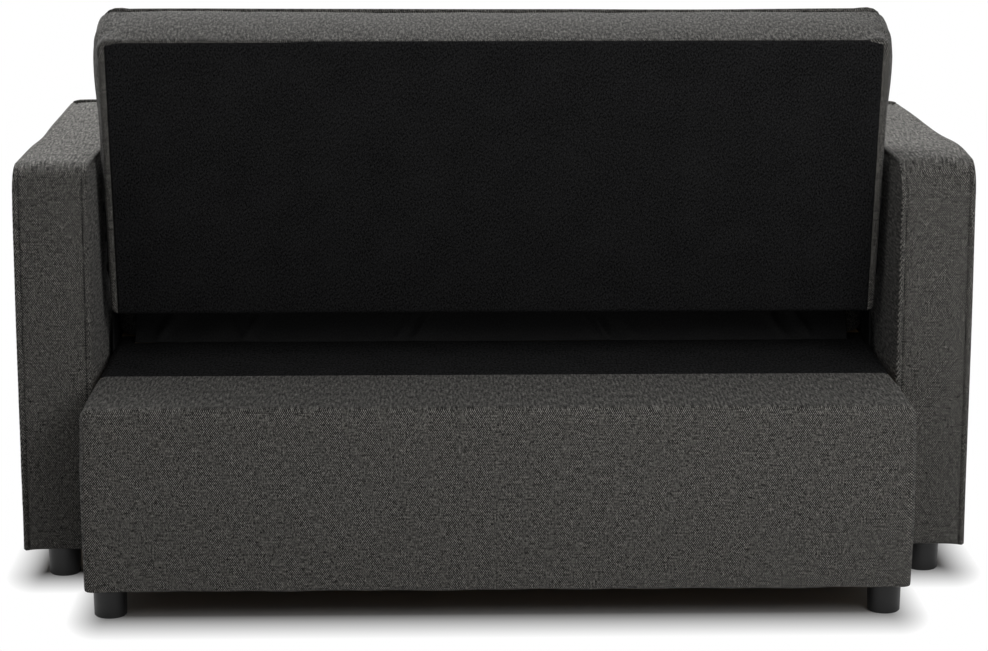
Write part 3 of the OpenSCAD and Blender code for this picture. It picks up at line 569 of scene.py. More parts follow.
finishOfNodes = {  # by a part of the node's name; where several fit, the last one holds
    plywood: ("side_panel", "rear_board", "deck_board", "arm_boards", "backrest_board", "pullout_front_board"),
    pineAlongX: ("cross_rails", "seat_slats", "arm_battens", "backrest_rails", "pullout_rails", "pullout_slats"),
    pineAlongY: ("mid_bearer", "pullout_sides", "arm_frame"),
    pineAlongZ: ("corner_blocks", "backrest_stiles"),
    blackSteel: ("hinge_plate", "hinge_rivets", "pawl", "ratchet"),
    legBlack: ("base_leg", "arm_leg"),
    wheelGrey: ("wheel_left", "wheel_right"),
    rollerBlack: ("roller",),
    zinc: ("runner", "leg_screws", "hinge_bolts", "arm_bolts", "wheel_brackets", "pullout_axles"),
    strapBlack: ("backrest_webbing", "pull_strap"),
    blackLining: ("backrest_lining", "deck_lining", "seat_flap"),
    pipingFabric: ("rear_cover", "arm_cover", "backrest_cover", "backrest_cushion", "mattress", "front_pad"),
}
for nodeName, nodeObject in nodes.items():
    fitting = [material for material, parts in finishOfNodes.items() if any(part in nodeName for part in parts)]
    nodeObject.data.materials.clear()
    nodeObject.data.materials.append(fitting[-1])
print("materials laid on the frame")


# Arms: boxed, with a piped and stitched seam round each side

armLook = {
    "inner": 0.61, "outer": 0.72, "front": -0.4988, "rear": 0.277, "foot": 0.05, "top": 0.64,
    "corner": 0.041, "cell": 0.0135, "weltRise": 0.0013, "weltIn": 0.0035, "grooveDepth": 0.0024,
    "panelSwell": 0.0028, "hang": 0.0032, "pipingRadius": 0.0036, "pipingIn": 0.0022, "innerMost": 0.6068,
    "stitchIn": 0.0078, "rightCorner": 0.056, "frontWeltBack": 0.03, "frontWeltRadius": 0.004,
    "puff": {"pressure": 4.0, "bending": 1.5, "spare": 0.004, "cap": 0.0065},
    "leftNudges": (  # place, reach and shift
        ((0.722, -0.067, 0.64), (0.045, 0.085, 0.05), (-0.0015, 0.0, -0.0026)),
        ((0.665, -0.47, 0.64), (0.1, 0.12, 0.08), (0.0, 0.0, 0.0025)),
    ),
    "rightNudges": (  # the right arm is fuller towards the rear and flatter in front
        ((-0.722, 0.12, 0.64), (0.05, 0.12, 0.06), (-0.003, 0.0, 0.0062)),
        ((-0.665, -0.47, 0.64), (0.1, 0.15, 0.08), (0.0, 0.0, -0.005)),
    ),
}
stitchSize = {"length": 0.0033, "thick": 0.0014, "pitch": 0.004, "steepest": 0.72}


def armRoute(x, inset):  # up the rear, over the top and down the front, seen from the side
    rear, front = armLook["rear"] - inset, armLook["front"] + inset
    top, r = armLook["top"] - inset, armLook["corner"] - inset
    foot = armLook["foot"] + 0.001
    corners = arc(rear - r, top - r, r, 0, 9) + arc(front + r, top - r, r, 90, 9)
    return [(x, y, z) for y, z in [(rear, foot), *corners, (front, foot)]]


def armRim(points):  # distance from the seam at the rim of the side panels, in the side view
    rear, front, top, r = take(armLook, "rear front top corner")
    y, z = points[:, 1], points[:, 2]
    flat = np.minimum(np.minimum(rear - y, y - front), top - z)
    cy = np.clip(y, front + r, rear - r)
    cz = np.minimum(z, top - r)
    inCorner = (np.abs(y - cy) > 1e-9) & (z - cz > 1e-9)
    return np.where(inCorner, r - np.hypot(y - cy, z - cz), flat)


def armSide(points):  # distance from the nearer side panel
    return np.minimum(points[:, 0] - armLook["inner"], armLook["outer"] - points[:, 0])


def makeArm():
    inner, outer, front, rear, foot, top, cell = take(armLook, "inner outer front rear foot top cell")
    stitchIn = armLook["stitchIn"]
    arm = block("armCover_left", (inner, front, foot), (outer, rear, top))
    roundEdges(arm, armLook["corner"], 7, lambda p, n: abs(n.x) > 0.9 and p.z > top - 0.001)
    rows = [armLook["weltIn"], 0.006, stitchIn, 0.0096, 0.0125]
    cutGrid(arm, 0, [inner + d for d in rows] + [outer - d for d in rows])
    cutEvenly(arm, cell, (0, inner + rows[-1], outer - rows[-1]), (1, front, rear))
    cutGrid(arm, 2, [foot + 0.004] + spread(foot + 0.004, top, cell))
    editMode(arm)
    pick(arm, "FACE", lambda p, n: abs(n.x) > 0.9)
    bpy.ops.mesh.inset(thickness=0.0045, depth=0)  # a narrow row beside the seam
    objectMode()
    layWeave(arm)
    start = places(arm)

    def held(points):
        nearSeam = (armSide(points) < 0.0085) & (armRim(points) < 0.006)
        return nearSeam | (points[:, 2] < foot + 0.006)

    puff(arm, held, **armLook["puff"])
    points = places(arm)
    x, y, z = points.T  # views, so that a change goes into the points
    full = np.where(armSide(start) < 0.0005, np.sin(portion(armRim(start) / 0.12) * np.pi / 2), 0)
    x += np.sign(start[:, 0] - (inner + outer) / 2) * armLook["panelSwell"] * full
    x[:] = np.maximum(x, armLook["innerMost"])  # the backrest folds past here
    rearEnd = portion((y - rear + 0.03) / 0.03)
    for edge in (inner, outer):  # gathered cloth hangs a little at the lower corners
        near = np.exp(-(((x - edge) / 0.014) ** 2)) * rearEnd
        z -= armLook["hang"] * near * portion((foot + 0.012 - z) / 0.012)
    movePoints(arm, points)
    deleteWhere(arm, "FACE", lambda p, n: n.z < -0.9 and p.z < foot + 0.002
                and inner + 0.01 < p.x < outer - 0.01 and front + 0.012 < p.y < rear - 0.012)
    smoothSkin(arm, 1)
    points = places(arm)
    free = portion((armSide(points) - 0.012) / 0.02) + portion((armRim(points) - 0.015) / 0.03)
    unevenness(arm, 0.0026, 0.09, portion(free) * np.where(points[:, 0] < inner + 0.003, 0.15, 1.0))
    points = places(arm)
    side = armSide(points)
    normals = np.array([v.normal for v in arm.data.vertices])
    welt = armLook["weltRise"] * np.exp(-(((side - armLook["weltIn"]) / 0.0028) ** 2))
    groove = armLook["grooveDepth"] * np.exp(-(((side - stitchIn) / 0.0014) ** 2))
    onBoxing = (np.abs(normals[:, 0]) < 0.7) & (normals[:, 2] > -0.5)
    onBoxing = onBoxing * (1 - 0.75 * portion((normals[:, 2] - 0.4) / 0.4))  # sinks into the top
    movePoints(arm, points + normals * ((welt - groove) * onBoxing)[:, None])
    return arm


def roundCorner(points, wide):  # gives the upper rear corner a wider radius between its two seams
    r = armLook["corner"]
    y, z = points[:, 1] - armLook["rear"] + wide, points[:, 2] - armLook["top"] + wide
    far = np.maximum(np.hypot(y, z), 1e-6)
    c, s = y / far, z / far
    edge = wide / np.maximum(np.maximum(c, s), 1e-6)
    m = wide - r
    onArc = (edge * c > m) & (edge * s > m)
    corner = m * (c + s) + np.sqrt(np.maximum(m * m * (c + s) ** 2 - 2 * m * m + r * r, 0))
    edge = np.where(onArc, corner, edge)
    across = np.abs(points[:, 0])
    share = portion((0.716 - across) / 0.055) * portion((across - 0.59) / 0.035)
    share = share * share * (3 - 2 * share) * ((y > 0) & (z > 0))
    grown = share * (wide / edge - 1)
    return points + np.stack([0 * y, y * grown, z * grown], 1)


armCover = makeArm()
armCoverRight = mirrored(armCover, "armCover_right")
for side, piece in (("left", armCover), ("right", armCoverRight)):
    finishPiece(piece, greyFabric, "base")
    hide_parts("arm_cover_" + side)
leftPieces, rightPieces = [armCover], [armCoverRight]


def addTrims(*trims):  # and their mirror images on the right arm
    for piece, material in trims:
        other = mirrored(piece, piece.name.replace("_left", "_right"))
        finishPiece(piece, material, "base")
        finishPiece(other, material, "base")
        leftPieces.append(piece)
        rightPieces.append(other)


for label, seam, into, seed in (("inner", armLook["inner"], 1, 0.4), ("outer", armLook["outer"], -1, 2.1)):
    pipingIn = armLook["pipingIn"]
    route = wave(evenRoute(armRoute(seam + into * pipingIn, pipingIn), 0.008), 0.0005, seed)
    piping = tube(f"armPiping_{label}_left", route, armLook["pipingRadius"])
    line = evenRoute(armRoute(seam + into * armLook["stitchIn"], 0.0012), stitchSize["pitch"])
    threads = stitches(f"armStitches_{label}_left", line, armCover, stitchSize)
    addTrims((piping, pipingFabric), (threads, sewingThread))
weltY, weltZ = armLook["front"] + armLook["frontWeltBack"], armLook["top"] + 0.0012
across = [
    (armLook["inner"] + 0.002, weltY - 0.004, weltZ - 0.003), (armLook["inner"] + 0.01, weltY, weltZ),
    (armLook["outer"] - 0.01, weltY, weltZ), (armLook["outer"] - 0.002, weltY - 0.004, weltZ - 0.003),
]
route = wave(evenRoute(across, 0.006), 0.0006, 5.0)
addTrims((tube("armWelt_front_left", route, armLook["frontWeltRadius"]), pipingFabric))
for key, pieces in (("leftNudges", leftPieces), ("rightNudges", rightPieces)):
    for piece in pieces:
        for centre, reach, shift in armLook[key]:
            nudge(piece, centre, reach, shift)
for piece in rightPieces:
    movePoints(piece, roundCorner(places(piece), armLook["rightCorner"]))
print("arms dressed")


# Backrest: one boxed cover, made upright on the X axis, then leaned

backLook = {
    "half": 0.593, "length": 0.444, "thick": 0.152, "topCorner": 0.034, "footCorner": 0.012,
    "frontEdge": 0.012, "rearEdge": 0.005, "cell": 0.0155, "margin": 0.0105, "recess": 0.0011,
    "pipingRadius": 0.0036, "sideSwell": 0.0085, "sideMost": 0.6048, "upperSwell": 0.0036, "cornerFill": 0.0078,
    "crown": 0.008, "hingeY": -0.107, "hingeZ": 0.018, "hingeRoom": 0.078,
    "puff": {"pressure": 4.0, "bending": 1.2, "spare": 0.006, "cap": 0.009},
    "nudge": ((0.46, -0.12, 0.444), (0.2, 0.12, 0.05), (0.0, 0.0, 0.0034)),  # its upper edge rises to the left
    "panelCell": 0.004, "panelFoot": -0.007, "panelThick": 0.0006, "hem": 0.0005, "sag": 0.0007,
}
lean = math.radians(12.3)
fromHinge = Matrix.Translation((0, -backLook["hingeY"], -backLook["hingeZ"]))
backPlace = Matrix.Translation((0, 0.044, 0.4288)) @ Matrix.Rotation(-lean, 4, "X") @ fromHinge


def backOutline(inset, y):  # round the backrest, seen from its front
    half, low, high = backLook["half"] - inset, inset, backLook["length"] - inset
    top, foot = backLook["topCorner"] - inset, max(0.002, backLook["footCorner"] - inset)
    corners = ((half - top, high - top, top, 0), (-half + top, high - top, top, 90),
               (-half + foot, low + foot, foot, 180), (half - foot, low + foot, foot, 270))
    points = [(x, y, z) for cx, cz, r, begin in corners for x, z in arc(cx, cz, r, begin, 8)]
    return evenRoute(points, 0.008, closed=True)


def fillCorners(points):  # the stuffing pushes the upper corners out
    r = backLook["topCorner"]
    dx = np.maximum(np.abs(points[:, 0]) - backLook["half"] + r, 0)
    dz = np.maximum(points[:, 2] - backLook["length"] + r, 0)
    share = 2 * dx * dz / np.maximum(dx * dx + dz * dz, 1e-9) * np.hypot(dx, dz) / r
    push = backLook["cornerFill"] * share / math.sqrt(2)
    return np.stack([np.sign(points[:, 0]) * push, 0 * push, push], 1)


def makeBackrest():
    half, tall, thick, cell, frontEdge, rearEdge = take(backLook, "half length thick cell frontEdge rearEdge")
    back = block("backrestCover", (-half, -thick, 0), (half, 0, tall))
    roundEdges(back, backLook["topCorner"], 7, lambda p, n: abs(n.y) > 0.9 and p.z > tall - 0.001)
    roundEdges(back, backLook["footCorner"], 4, lambda p, n: abs(n.y) > 0.9 and p.z < 0.001)
    roundEdges(back, frontEdge, 4, lambda p, n: abs(n.y) < 0.5 and p.y < -thick + 0.0005)
    roundEdges(back, rearEdge, 2, lambda p, n: abs(n.y) < 0.5 and p.y > -0.0005)
    inner = half - backLook["margin"]
    cutGrid(back, 0, [-inner - 0.0013, -inner, -inner + 0.002, inner - 0.002, inner, inner + 0.0013])
    cutGrid(back, 2, [0.005, 0.0062, 0.0082, tall - 0.0082, tall - 0.0062, tall - 0.005])
    cutEvenly(back, cell, (0, -half, half), (1, -thick + frontEdge, -rearEdge), (2, 0, tall))
    layWeave(back)
    start = places(back)

    def held(points):
        seam = np.abs(points[:, 1] + thick - frontEdge) < 0.004
        return seam | (points[:, 1] > -0.012)

    puff(back, held, **backLook["puff"])
    points = places(back)
    side, deep, high = np.abs(start[:, 0]), start[:, 1], start[:, 2]
    points[(deep > -0.0002) & (side < inner + 0.0002), 1] -= backLook["recess"]
    behind = portion((-0.046 - deep) / 0.03)  # clear of the hinge arms
    above = portion((high - 0.056) / 0.05)
    below = np.clip((tall - high) / 0.018, 0.25, 1)
    bulge = backLook["sideSwell"]
    for share in (behind, above, below):
        bulge = bulge * np.sin(share * np.pi / 2)
    outwards = np.sign(start[:, 0]) * portion((side - half + 0.1) / 0.1) ** 2
    most = backLook["sideMost"]
    points[:, 0] = np.clip(points[:, 0] + bulge * outwards, -most, most)
    free = portion((high - 0.3) / 0.06) * portion((-0.004 - deep) / 0.02)  # above the arms
    points[:, 0] += outwards * backLook["upperSwell"] * free
    points += fillCorners(start)
    movePoints(back, points)
    smoothSkin(back, 1)
    points = places(back)
    free = portion((-0.012 - points[:, 1]) / 0.02) * np.where(np.abs(points[:, 0]) > half - 0.004, 0.1, 1.0)
    unevenness(back, 0.0026, 0.11, free)
    points = places(back)
    away = np.hypot(points[:, 1] - backLook["hingeY"], points[:, 2] - backLook["hingeZ"])
    most = half - 0.0004 + 0.5 * np.maximum(away - backLook["hingeRoom"], 0)  # leaves the hinge room
    points[:, 0] = np.clip(points[:, 0], -most, most)
    movePoints(back, points)
    return back


def makeSheet(name, xRange, yRange, cell):  # flat grid of cloth
    across, deep = xRange[1] - xRange[0], yRange[1] - yRange[0]
    bpy.ops.mesh.primitive_grid_add(
        x_subdivisions=round(across / cell), y_subdivisions=round(deep / cell), size=1,
        location=(sum(xRange) / 2, sum(yRange) / 2, 0),
    )
    sheet = stretchTo(bpy.context.object, name, (across, deep, 1))
    layWeave(sheet)
    return sheet


def makeBackLining():  # stretched over the board and turned over its upper and lower edges
    half, tall, r = backLook["half"] - backLook["margin"] - 0.0002, backLook["length"], backLook["rearEdge"]
    low, high = backLook["panelFoot"], tall - 0.0002
    sheet = makeSheet("backrestLining", (-half, half), (low, high), backLook["panelCell"])
    points = places(sheet)
    x, v = points[:, 0], points[:, 1]
    corner = backLook["topCorner"]
    beyond = np.maximum(np.abs(x) - backLook["half"] + corner, 0)
    drop = (corner - np.sqrt(corner ** 2 - beyond ** 2)) * 0.5  # it stops short of the rounded corners
    v = low + (v - low) * (high - drop - low) / (high - low)
    over = np.clip((v - tall + drop + r) / r, 0, 1.4)
    under = np.clip((r - v) / r, 0, math.pi / 2)
    flatV = np.clip(v, r, tall - drop - r)
    inwards = r * (1 - np.cos(over)) + r * (1 - np.cos(under)) + np.maximum(r * (1 - math.pi / 2) - v, 0)
    rim = np.minimum(half - np.abs(x), 0.05)
    hem = backLook["hem"] * np.exp(-(((rim - 0.0075) / 0.003) ** 2))  # the seam holds the hem down
    sag = backLook["sag"] * np.sin(x * 9 + 2 * v) * np.sin(v * 14 + 0.6) * (over + under < 0.01)
    y = -0.0002 - hem + np.clip(sag, 0, 0.0006) - inwards
    z = flatV + (r + 0.0003) * (np.sin(over) - np.sin(under))
    movePoints(sheet, np.stack([x, y, z], 1))
    faceOutwards(sheet)
    if sheet.data.polygons[0].normal.y < 0:
        flipFaces(sheet)
    thicken(sheet, backLook["panelThick"])
    smoothSkin(sheet, 0)
    return sheet


backrest = makeBackrest()
pipingY = -backLook["thick"] + backLook["frontEdge"] - 0.001
route = wave(backOutline(-0.0008, pipingY), 0.0007, 1.3)
frontPiping = tube("backrestPiping_front", route, backLook["pipingRadius"], closed=True)
movePoints(frontPiping, places(frontPiping) + fillCorners(places(frontPiping)))
for piece in (backrest, frontPiping):
    nudge(piece, *backLook["nudge"])
backLining = makeBackLining()
for piece in (backrest, frontPiping, backLining):
    piece.data.transform(backPlace)
    piece.data.update()
finishPiece(backrest, greyFabric, "backrest")
finishPiece(frontPiping, pipingFabric, "backrest")
finishPiece(backLining, blackLining, "backrest")
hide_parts("backrest_cover", "backrest_cushion")
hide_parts("backrest_lining")
print("backrest dressed")


# Base: fabric over the rear, black felt on the deck, and the flap

baseLook = {
    "half": 0.6025, "front": 0.276, "rear": 0.5015, "foot": 0.05, "top": 0.3212, "corner": 0.0145,
    "cell": 0.013, "thick": 0.003, "swell": 0.003, "sideSwell": 0.0035, "hang": 0.0006, "ripple": 0.0009,
}


def makeRearCover():
    half, front, rear, foot, top, r, cell = take(baseLook, "half front rear foot top corner cell")
    cover = block("baseCover", (-half, front, foot), (half, rear, top))
    roundEdges(cover, r, 5, lambda p, n: (p.y > rear - 0.001 and (p.z > top - 0.001 or abs(n.z) > 0.9))
               or (abs(n.y) > 0.9 and p.z > top - 0.001))
    deleteWhere(cover, "FACE", lambda p, n: n.y < -0.9 or n.z < -0.9)
    cutEvenly(cover, cell, (0, -half + r, half - r), (1, front, rear - r))
    cutGrid(cover, 2, [foot + 0.004] + spread(foot + 0.004, top - r, cell))
    layWeave(cover)
    points = places(cover)
    x, y, z = points.T.copy()
    up = portion((z - foot) / (top - foot))
    along = portion(np.abs(x) / half)
    swell = baseLook["swell"] * np.sin(np.pi * up) ** 0.7 * np.cos(along * 1.35)
    points[:, 1] += np.where(y > rear - 0.0005, swell, 0)
    free = portion((y - front - 0.02) / 0.05)  # the arms press on the rest
    sideways = baseLook["sideSwell"] * np.sin(np.pi * portion(up * 0.85 + 0.1)) * free
    points[:, 0] += np.sign(x) * np.where(along > 0.985, sideways, 0)
    hang = np.exp(-(((half - np.abs(x)) / 0.016) ** 2)) * (y > rear - 0.03)
    points[:, 2] -= baseLook["hang"] * hang * portion((foot + 0.012 - z) / 0.012)
    ripple = baseLook["ripple"] * np.sin(x * 43 + 1) * np.sin(x * 17)
    points[:, 2] += np.where(z < foot + 0.001, ripple - 0.0004, 0)  # the turned hem is a little uneven
    movePoints(cover, points)
    thicken(cover, baseLook["thick"])
    smoothSkin(cover, 1)
    unevenness(cover, 0.002, 0.1, portion((places(cover)[:, 1] - front - 0.004) / 0.02))
    points = places(cover)
    points[:, 2] = np.minimum(points[:, 2], top)  # leaves the folded backrest room
    movePoints(cover, points)
    return cover


baseCover = makeRearCover()
finishPiece(baseCover, greyFabric, "base")
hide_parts("rear_cover")

deckLook = {
    "half": 0.5965, "front": 0.0245, "rear": 0.2775, "top": 0.3198, "wingIn": 0.571, "wingFront": -0.0236,
    "cell": 0.0085, "thick": 0.0009, "bump": 0.0005, "cornerDown": 0.0006, "wingUp": 0.0014,
}


def makeDeckLining():
    half, front, wingIn = take(deckLook, "half front wingIn")
    sheet = makeSheet("deckLining", (-half, half), (deckLook["wingFront"], deckLook["rear"]), deckLook["cell"])
    cutGrid(sheet, 0, [-wingIn, wingIn])
    cutGrid(sheet, 1, [front])
    deleteWhere(sheet, "FACE", lambda p, n: abs(p.x) < wingIn and p.y < front)  # it reaches in beside the flap
    points = places(sheet)
    x, y, z = points.T
    bumps = 0.5 * np.sin(x * 21 + y * 9) * np.sin(y * 33 + 1) + 0.5 * np.sin(x * 7 - y * 26)
    z[:] = deckLook["top"] - 0.0007 + deckLook["bump"] * bumps
    z -= deckLook["cornerDown"] * portion((x - 0.52) / 0.06) * portion((0.16 - y) / 0.09)  # beside the hinge
    z += deckLook["wingUp"] * portion((-0.012 - y) / 0.008)  # up over the last seat slat
    movePoints(sheet, points)
    thicken(sheet, deckLook["thick"])
    smoothSkin(sheet, 0)
    return sheet


deckLining = makeDeckLining()
finishPiece(deckLining, deckLiningFelt, "base")
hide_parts("deck_lining")

flapLook = {
    "half": 0.5705, "deep": 0.0705, "cell": 0.0045, "thick": 0.0008, "gap": 0.0006,
    "footY": 0.0236, "footZ": 0.3186, "topY": -0.0118, "topZ": 0.3795,
    "foldHeight": 0.0105, "foldWidth": 0.011, "foldLean": 0.045,
    "folds": (  # each fold's share of the half width, and the side to which it leans
        (-0.86, 1), (-0.79, 1), (-0.37, 1), (-0.29, 1), (0.18, -1), (0.235, -1), (0.66, -1), (0.71, 1), (0.9, -1),
    ),
}


def makeFlap():
    half, deep = take(flapLook, "half deep")
    sheet = makeSheet("seatFlap", (-half, half), (0, deep), flapLook["cell"])
    points = places(sheet)
    x, t = points[:, 0], points[:, 1] / deep
    bulge = np.zeros(len(x))
    for share, way in flapLook["folds"]:
        at = share * half + way * flapLook["foldLean"] * (t - 0.5)
        width = flapLook["foldWidth"] * (0.7 + 0.5 * t)
        ridge = np.exp(-(((x - at) / width) ** 2))
        bulge = np.maximum(bulge, ridge * (0.75 + 0.25 * np.sin(share * 40)))
    bulge = bulge * np.sin(np.pi * portion(t)) ** 0.8
    soft = (0.15 * np.sin(x * 31) + 0.12 * np.sin(x * 73 + 3 * t)) * np.sin(np.pi * t)
    lift = flapLook["gap"] + np.maximum(flapLook["foldHeight"] * (bulge + soft), 0)
    foot = np.array((0, flapLook["footY"], flapLook["footZ"]))
    slant = np.array((0, flapLook["topY"], flapLook["topZ"])) - foot
    out = np.array((0, slant[2], -slant[1])) / np.hypot(slant[1], slant[2])  # to the rear, away from the seat
    made = foot + t[:, None] * slant + lift[:, None] * out
    made[:, 0] = x
    movePoints(sheet, made)
    if sheet.data.polygons[0].normal.y < 0:
        flipFaces(sheet)
    thicken(sheet, flapLook["thick"])
    smoothSkin(sheet, 1)
    return sheet


seatFlap = makeFlap()
finishPiece(seatFlap, flapLining, "base")
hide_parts("seat_flap")
print("base dressed")


# Mattresses and the pull-out bed's front: boxed pads with piped seams

padEdges = {"corner": 0.04, "edge": 0.022, "foot": 0.008, "crownTurn": 2.8}
seatLook = dict(
    padEdges, low=(-0.601, -0.4845, 0.3202), high=(0.601, -0.018, 0.4725), cell=0.0165,
    pipingRadius=0.0032, lowPipingRadius=0.0028, lowPipingUp=0.012,
    puff={"pressure": 4.0, "bending": 0.8, "spare": 0.015, "cap": 0.011},
)
bedLook = dict(
    padEdges, low=(-0.553, -0.4545, 0.1322), high=(0.553, 0.41, 0.2775), cell=0.019, pipingRadius=0.003,
    puff={"pressure": 4.0, "bending": 0.8, "spare": 0.015, "cap": 0.008},
)


def makePad(name, look):
    low, high = Vector(look["low"]), Vector(look["high"])
    seamZ = high.z - look["edge"]
    pad = block(name, low, high)
    roundEdges(pad, look["corner"], 6, lambda p, n: abs(n.z) > 0.9)
    roundEdges(pad, look["edge"], 4, lambda p, n: abs(n.z) < 0.5 and p.z > high.z - 0.0005)
    roundEdges(pad, look["foot"], 2, lambda p, n: abs(n.z) < 0.5 and p.z < low.z + 0.0005)
    cutEvenly(pad, look["cell"], (0, low.x, high.x), (1, low.y, high.y), (2, low.z + look["foot"], seamZ))
    layWeave(pad)

    def held(points):
        seam = np.abs(points[:, 2] - seamZ) < 0.004
        return seam | (points[:, 2] < low.z + look["foot"] + 0.002)

    puff(pad, held, **look["puff"])
    points = places(pad)
    points[:, 2] = np.maximum(points[:, 2], low.z)
    movePoints(pad, points)
    smoothSkin(pad, 1)
    return pad


def padSeam(name, look, z, radius, seed):  # piping round a pad at one height
    r, low, high = take(look, "corner low high")
    corners = ((high[0] - r, high[1] - r, 0), (low[0] + r, high[1] - r, 90),
               (low[0] + r, low[1] + r, 180), (high[0] - r, low[1] + r, 270))
    points = [(x, y, z) for cx, cy, begin in corners for x, y in arc(cx, cy, r, begin, 9)]
    return tube(name, wave(evenRoute(points, 0.009, closed=True), 0.0005, seed), radius, closed=True)


seatPad = makePad("seatMattress", seatLook)
seatTop = seatLook["high"][2]
unevenness(seatPad, 0.003, 0.13, portion((places(seatPad)[:, 2] - seatTop + 0.01) / 0.01))
seatPiping = padSeam("seatPiping", seatLook, seatTop - seatLook["edge"], seatLook["pipingRadius"], 0.7)
lowZ = seatLook["low"][2] + seatLook["lowPipingUp"]
seatPipingLow = padSeam("seatPiping_lower", seatLook, lowZ, seatLook["lowPipingRadius"], 3.1)
finishPiece(seatPad, greyFabric, "base")
finishPiece(seatPiping, pipingFabric, "base")
finishPiece(seatPipingLow, pipingFabric, "base")
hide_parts("seat_mattress")

bedPad = makePad("pulloutMattress", bedLook)
bedPiping = padSeam("pulloutPiping", bedLook, bedLook["high"][2] - bedLook["edge"], bedLook["pipingRadius"], 1.9)
finishPiece(bedPad, greyFabric, "pullout")
finishPiece(bedPiping, pipingFabric, "pullout")
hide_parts("pullout_mattress")

panelLook = {
    "half": 0.602, "low": 0.0575, "high": 0.3145, "rear": -0.4743, "thick": 0.0105, "cell": 0.016,
    "corner": 0.01, "edge": 0.005, "puff": {"pressure": 3.0, "bending": 0.8, "spare": 0.006, "cap": 0.0035},
}


def makeFrontPad():
    half, low, high, rear = take(panelLook, "half low high rear")
    front = rear - panelLook["thick"]
    pad = block("pulloutFrontPad", (-half, front, low), (half, rear, high))
    roundEdges(pad, panelLook["corner"], 4, lambda p, n: abs(n.y) > 0.9)
    roundEdges(pad, panelLook["edge"], 3, lambda p, n: abs(n.y) < 0.5 and p.y < front + 0.0005)
    cutEvenly(pad, panelLook["cell"], (0, -half, half), (2, low, high))
    layWeave(pad)
    puff(pad, lambda points: points[:, 1] > front + 0.0045, **panelLook["puff"])
    smoothSkin(pad, 1)
    return pad


frontPad = makeFrontPad()
finishPiece(frontPad, greyFabric, "pullout")
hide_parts("pullout_front_pad")

strapLook = {"width": 0.032, "thick": 0.00105, "bevel": 0.0003, "drop": 0.068, "boardTop": 0.316, "front": -0.4883}


def makeStrap():  # loop of webbing sewn over the top of the front board
    y, top, drop = take(strapLook, "front boardTop drop")
    route = [(-0.459, top + 0.0006), (-0.474, top + 0.0008), (-0.485, top - 0.0003), (y - 0.0012, top - 0.006),
             (y - 0.0014, top - drop * 0.5), (y - 0.0012, top - drop + 0.006), (y - 0.0022, top - drop + 0.001),
             (y - 0.0036, top - drop + 0.006), (y - 0.004, top - drop * 0.5), (y - 0.0034, top - 0.012)]
    points = evenRoute([(0, a, b) for a, b in route], 0.004)
    bpy.ops.mesh.primitive_plane_add(size=1)
    strap = bpy.context.object
    strap.name = "pullStrap"
    deleteWhere(strap, "VERT", lambda p, n: p.y > 0)
    half = strapLook["width"] / 2
    for vertex, x in zip(strap.data.vertices, (-half, half)):
        vertex.co = (x, points[0].y, points[0].z)
    editMode(strap)
    for a, b in zip(points, points[1:]):
        pick(strap, "VERT", lambda p, n, a=a: (p.yz - a.yz).length < 1e-5)
        bpy.ops.mesh.select_mode(type="EDGE")
        bpy.ops.mesh.extrude_region_move(TRANSFORM_OT_translate={"value": b - a})
    objectMode()
    addModifier(strap, "SOLIDIFY", thickness=strapLook["thick"], offset=0)
    addModifier(strap, "BEVEL", width=strapLook["bevel"], segments=1)
    applyAll(strap)
    faceOutwards(strap)
    smoothSkin(strap, 0)
    return strap


pullStrap = makeStrap()
finishPiece(pullStrap, strapBlack, "pullout")
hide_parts("pull_strap")
print("mattresses dressed")


# Floor, lights and camera

floorLook = {
    "shade": 0.5, "fade": 0.115, "fadeWays": (1.9, 1, 1),  # the shadow fades sooner at the sides
    "shaded": (((0, -0.139, 0), (0.694, 0.366, 0)), ((0, -0.024, 0), (0.574, 0.482, 0))),  # arms and base
}
lampLook = {
    "around": 0.13,
    "topLight": {"place": (0.75, -2.75, 3.55), "target": (0, 0, 0.5), "size": (3.2, 2.0), "power": 166},
    "rearLight": {"place": (-0.98, 2.16, 1.6), "target": (-0.1, 0.3, 0.3), "size": (1.2, 1.0), "power": 15.5},
}
cameraLook = {
    "place": (0.0959, 4.492, 1.269), "heading": (-0.02216, -0.99975), "down": math.radians(11.69), "lens": 103.96,
}


def seenPlainly():  # by the camera, also mirrored or through glass
    path = node("ShaderNodeLightPath")
    return maths("MAXIMUM", *(path["Is " + kind + " Ray"] for kind in ("Camera", "Glossy", "Transmission")))


def mixInto(output, share, first, second):
    mix = node("ShaderNodeMixShader", {0: share, 1: first, 2: second})[0]
    node(output, {"Surface": mix})


def vectorMaths(operation, first, second=(0, 0, 0)):
    return node("ShaderNodeVectorMath", {0: first, 1: second}, operation=operation)


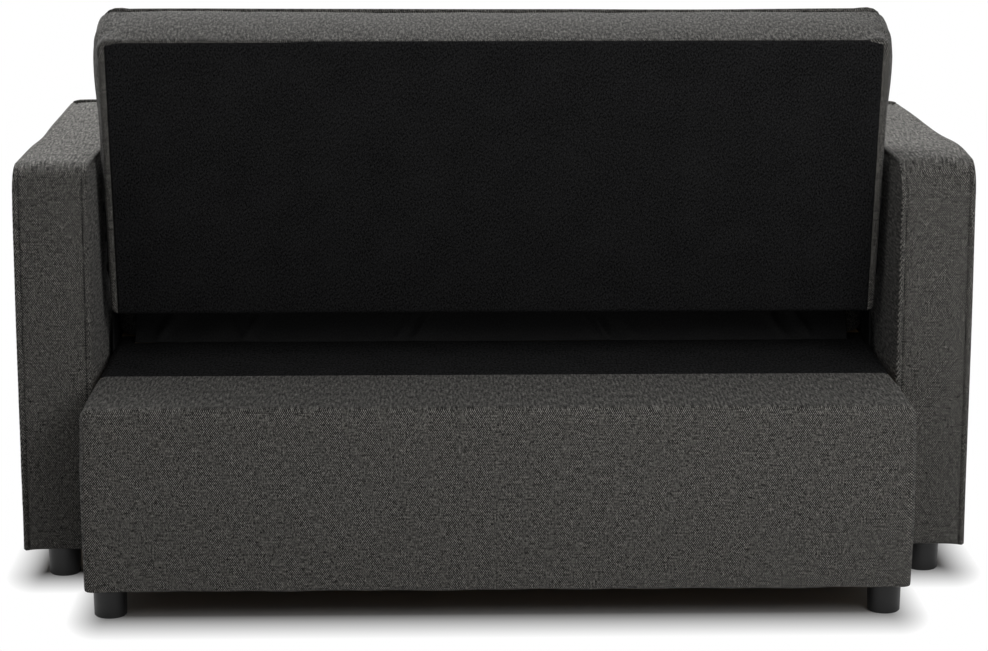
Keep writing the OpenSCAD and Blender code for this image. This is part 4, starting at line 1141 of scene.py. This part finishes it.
def makeFloor():
    bpy.ops.mesh.primitive_plane_add(size=60)
    floor = bpy.context.object
    floor.name = "floor"
    material = bpy.data.materials.new("paleFloor")
    openTree(material).clear()
    at = objectPlace()
    gaps = []
    for centre, half in floorLook["shaded"]:
        away = vectorMaths("ABSOLUTE", vectorMaths("SUBTRACT", at, centre)[0])[0]
        beyond = vectorMaths("MAXIMUM", vectorMaths("SUBTRACT", away, half)[0])[0]
        reach = vectorMaths("MULTIPLY", beyond, floorLook["fadeWays"])[0]
        gaps.append(vectorMaths("LENGTH", reach)["Value"])
    near = {"Value": maths("MINIMUM", *gaps), "From Min": 0.0, "From Max": floorLook["fade"]}
    far = node("ShaderNodeMapRange", near)["Result"]
    matt = node("ShaderNodeBsdfDiffuse", {"Color": (floorLook["shade"],) * 3})[0]
    white = node("ShaderNodeEmission", {"Color": (1, 1, 1)})[0]
    mixInto("ShaderNodeOutputMaterial", times(far, seenPlainly()), matt, white)
    floor.data.materials.append(material)


def makeWorld():
    world = bpy.data.worlds.new("studio")
    scene.world = world
    openTree(world).clear()
    soft = node("ShaderNodeBackground", {"Color": (1, 1, 1), "Strength": lampLook["around"]})[0]
    white = node("ShaderNodeBackground", {"Color": (1, 1, 1)})[0]
    mixInto("ShaderNodeOutputWorld", seenPlainly(), soft, white)


def makeLight(name):
    look = lampLook[name]
    data = bpy.data.lights.new(name, "AREA")
    data.shape = "RECTANGLE"
    data.size, data.size_y, data.energy = *look["size"], look["power"]
    aim(newObject(name, data), look["place"], Vector(look["target"]) - Vector(look["place"]))


def aim(thing, place, way):
    thing.location = place
    thing.rotation_euler = way.to_track_quat("-Z", "Y").to_euler()


makeFloor()
makeWorld()
makeLight("topLight")
makeLight("rearLight")
cameraData = bpy.data.cameras.new("camera")
cameraData.lens = cameraLook["lens"]
cameraData.sensor_width = 36
camera = newObject("camera", cameraData)
heading, down = Vector((*cameraLook["heading"], 0)), cameraLook["down"]
aim(camera, cameraLook["place"], heading * math.cos(down) - Vector((0, 0, math.sin(down))))
scene.camera = camera
scene.view_settings.view_transform = "Standard"
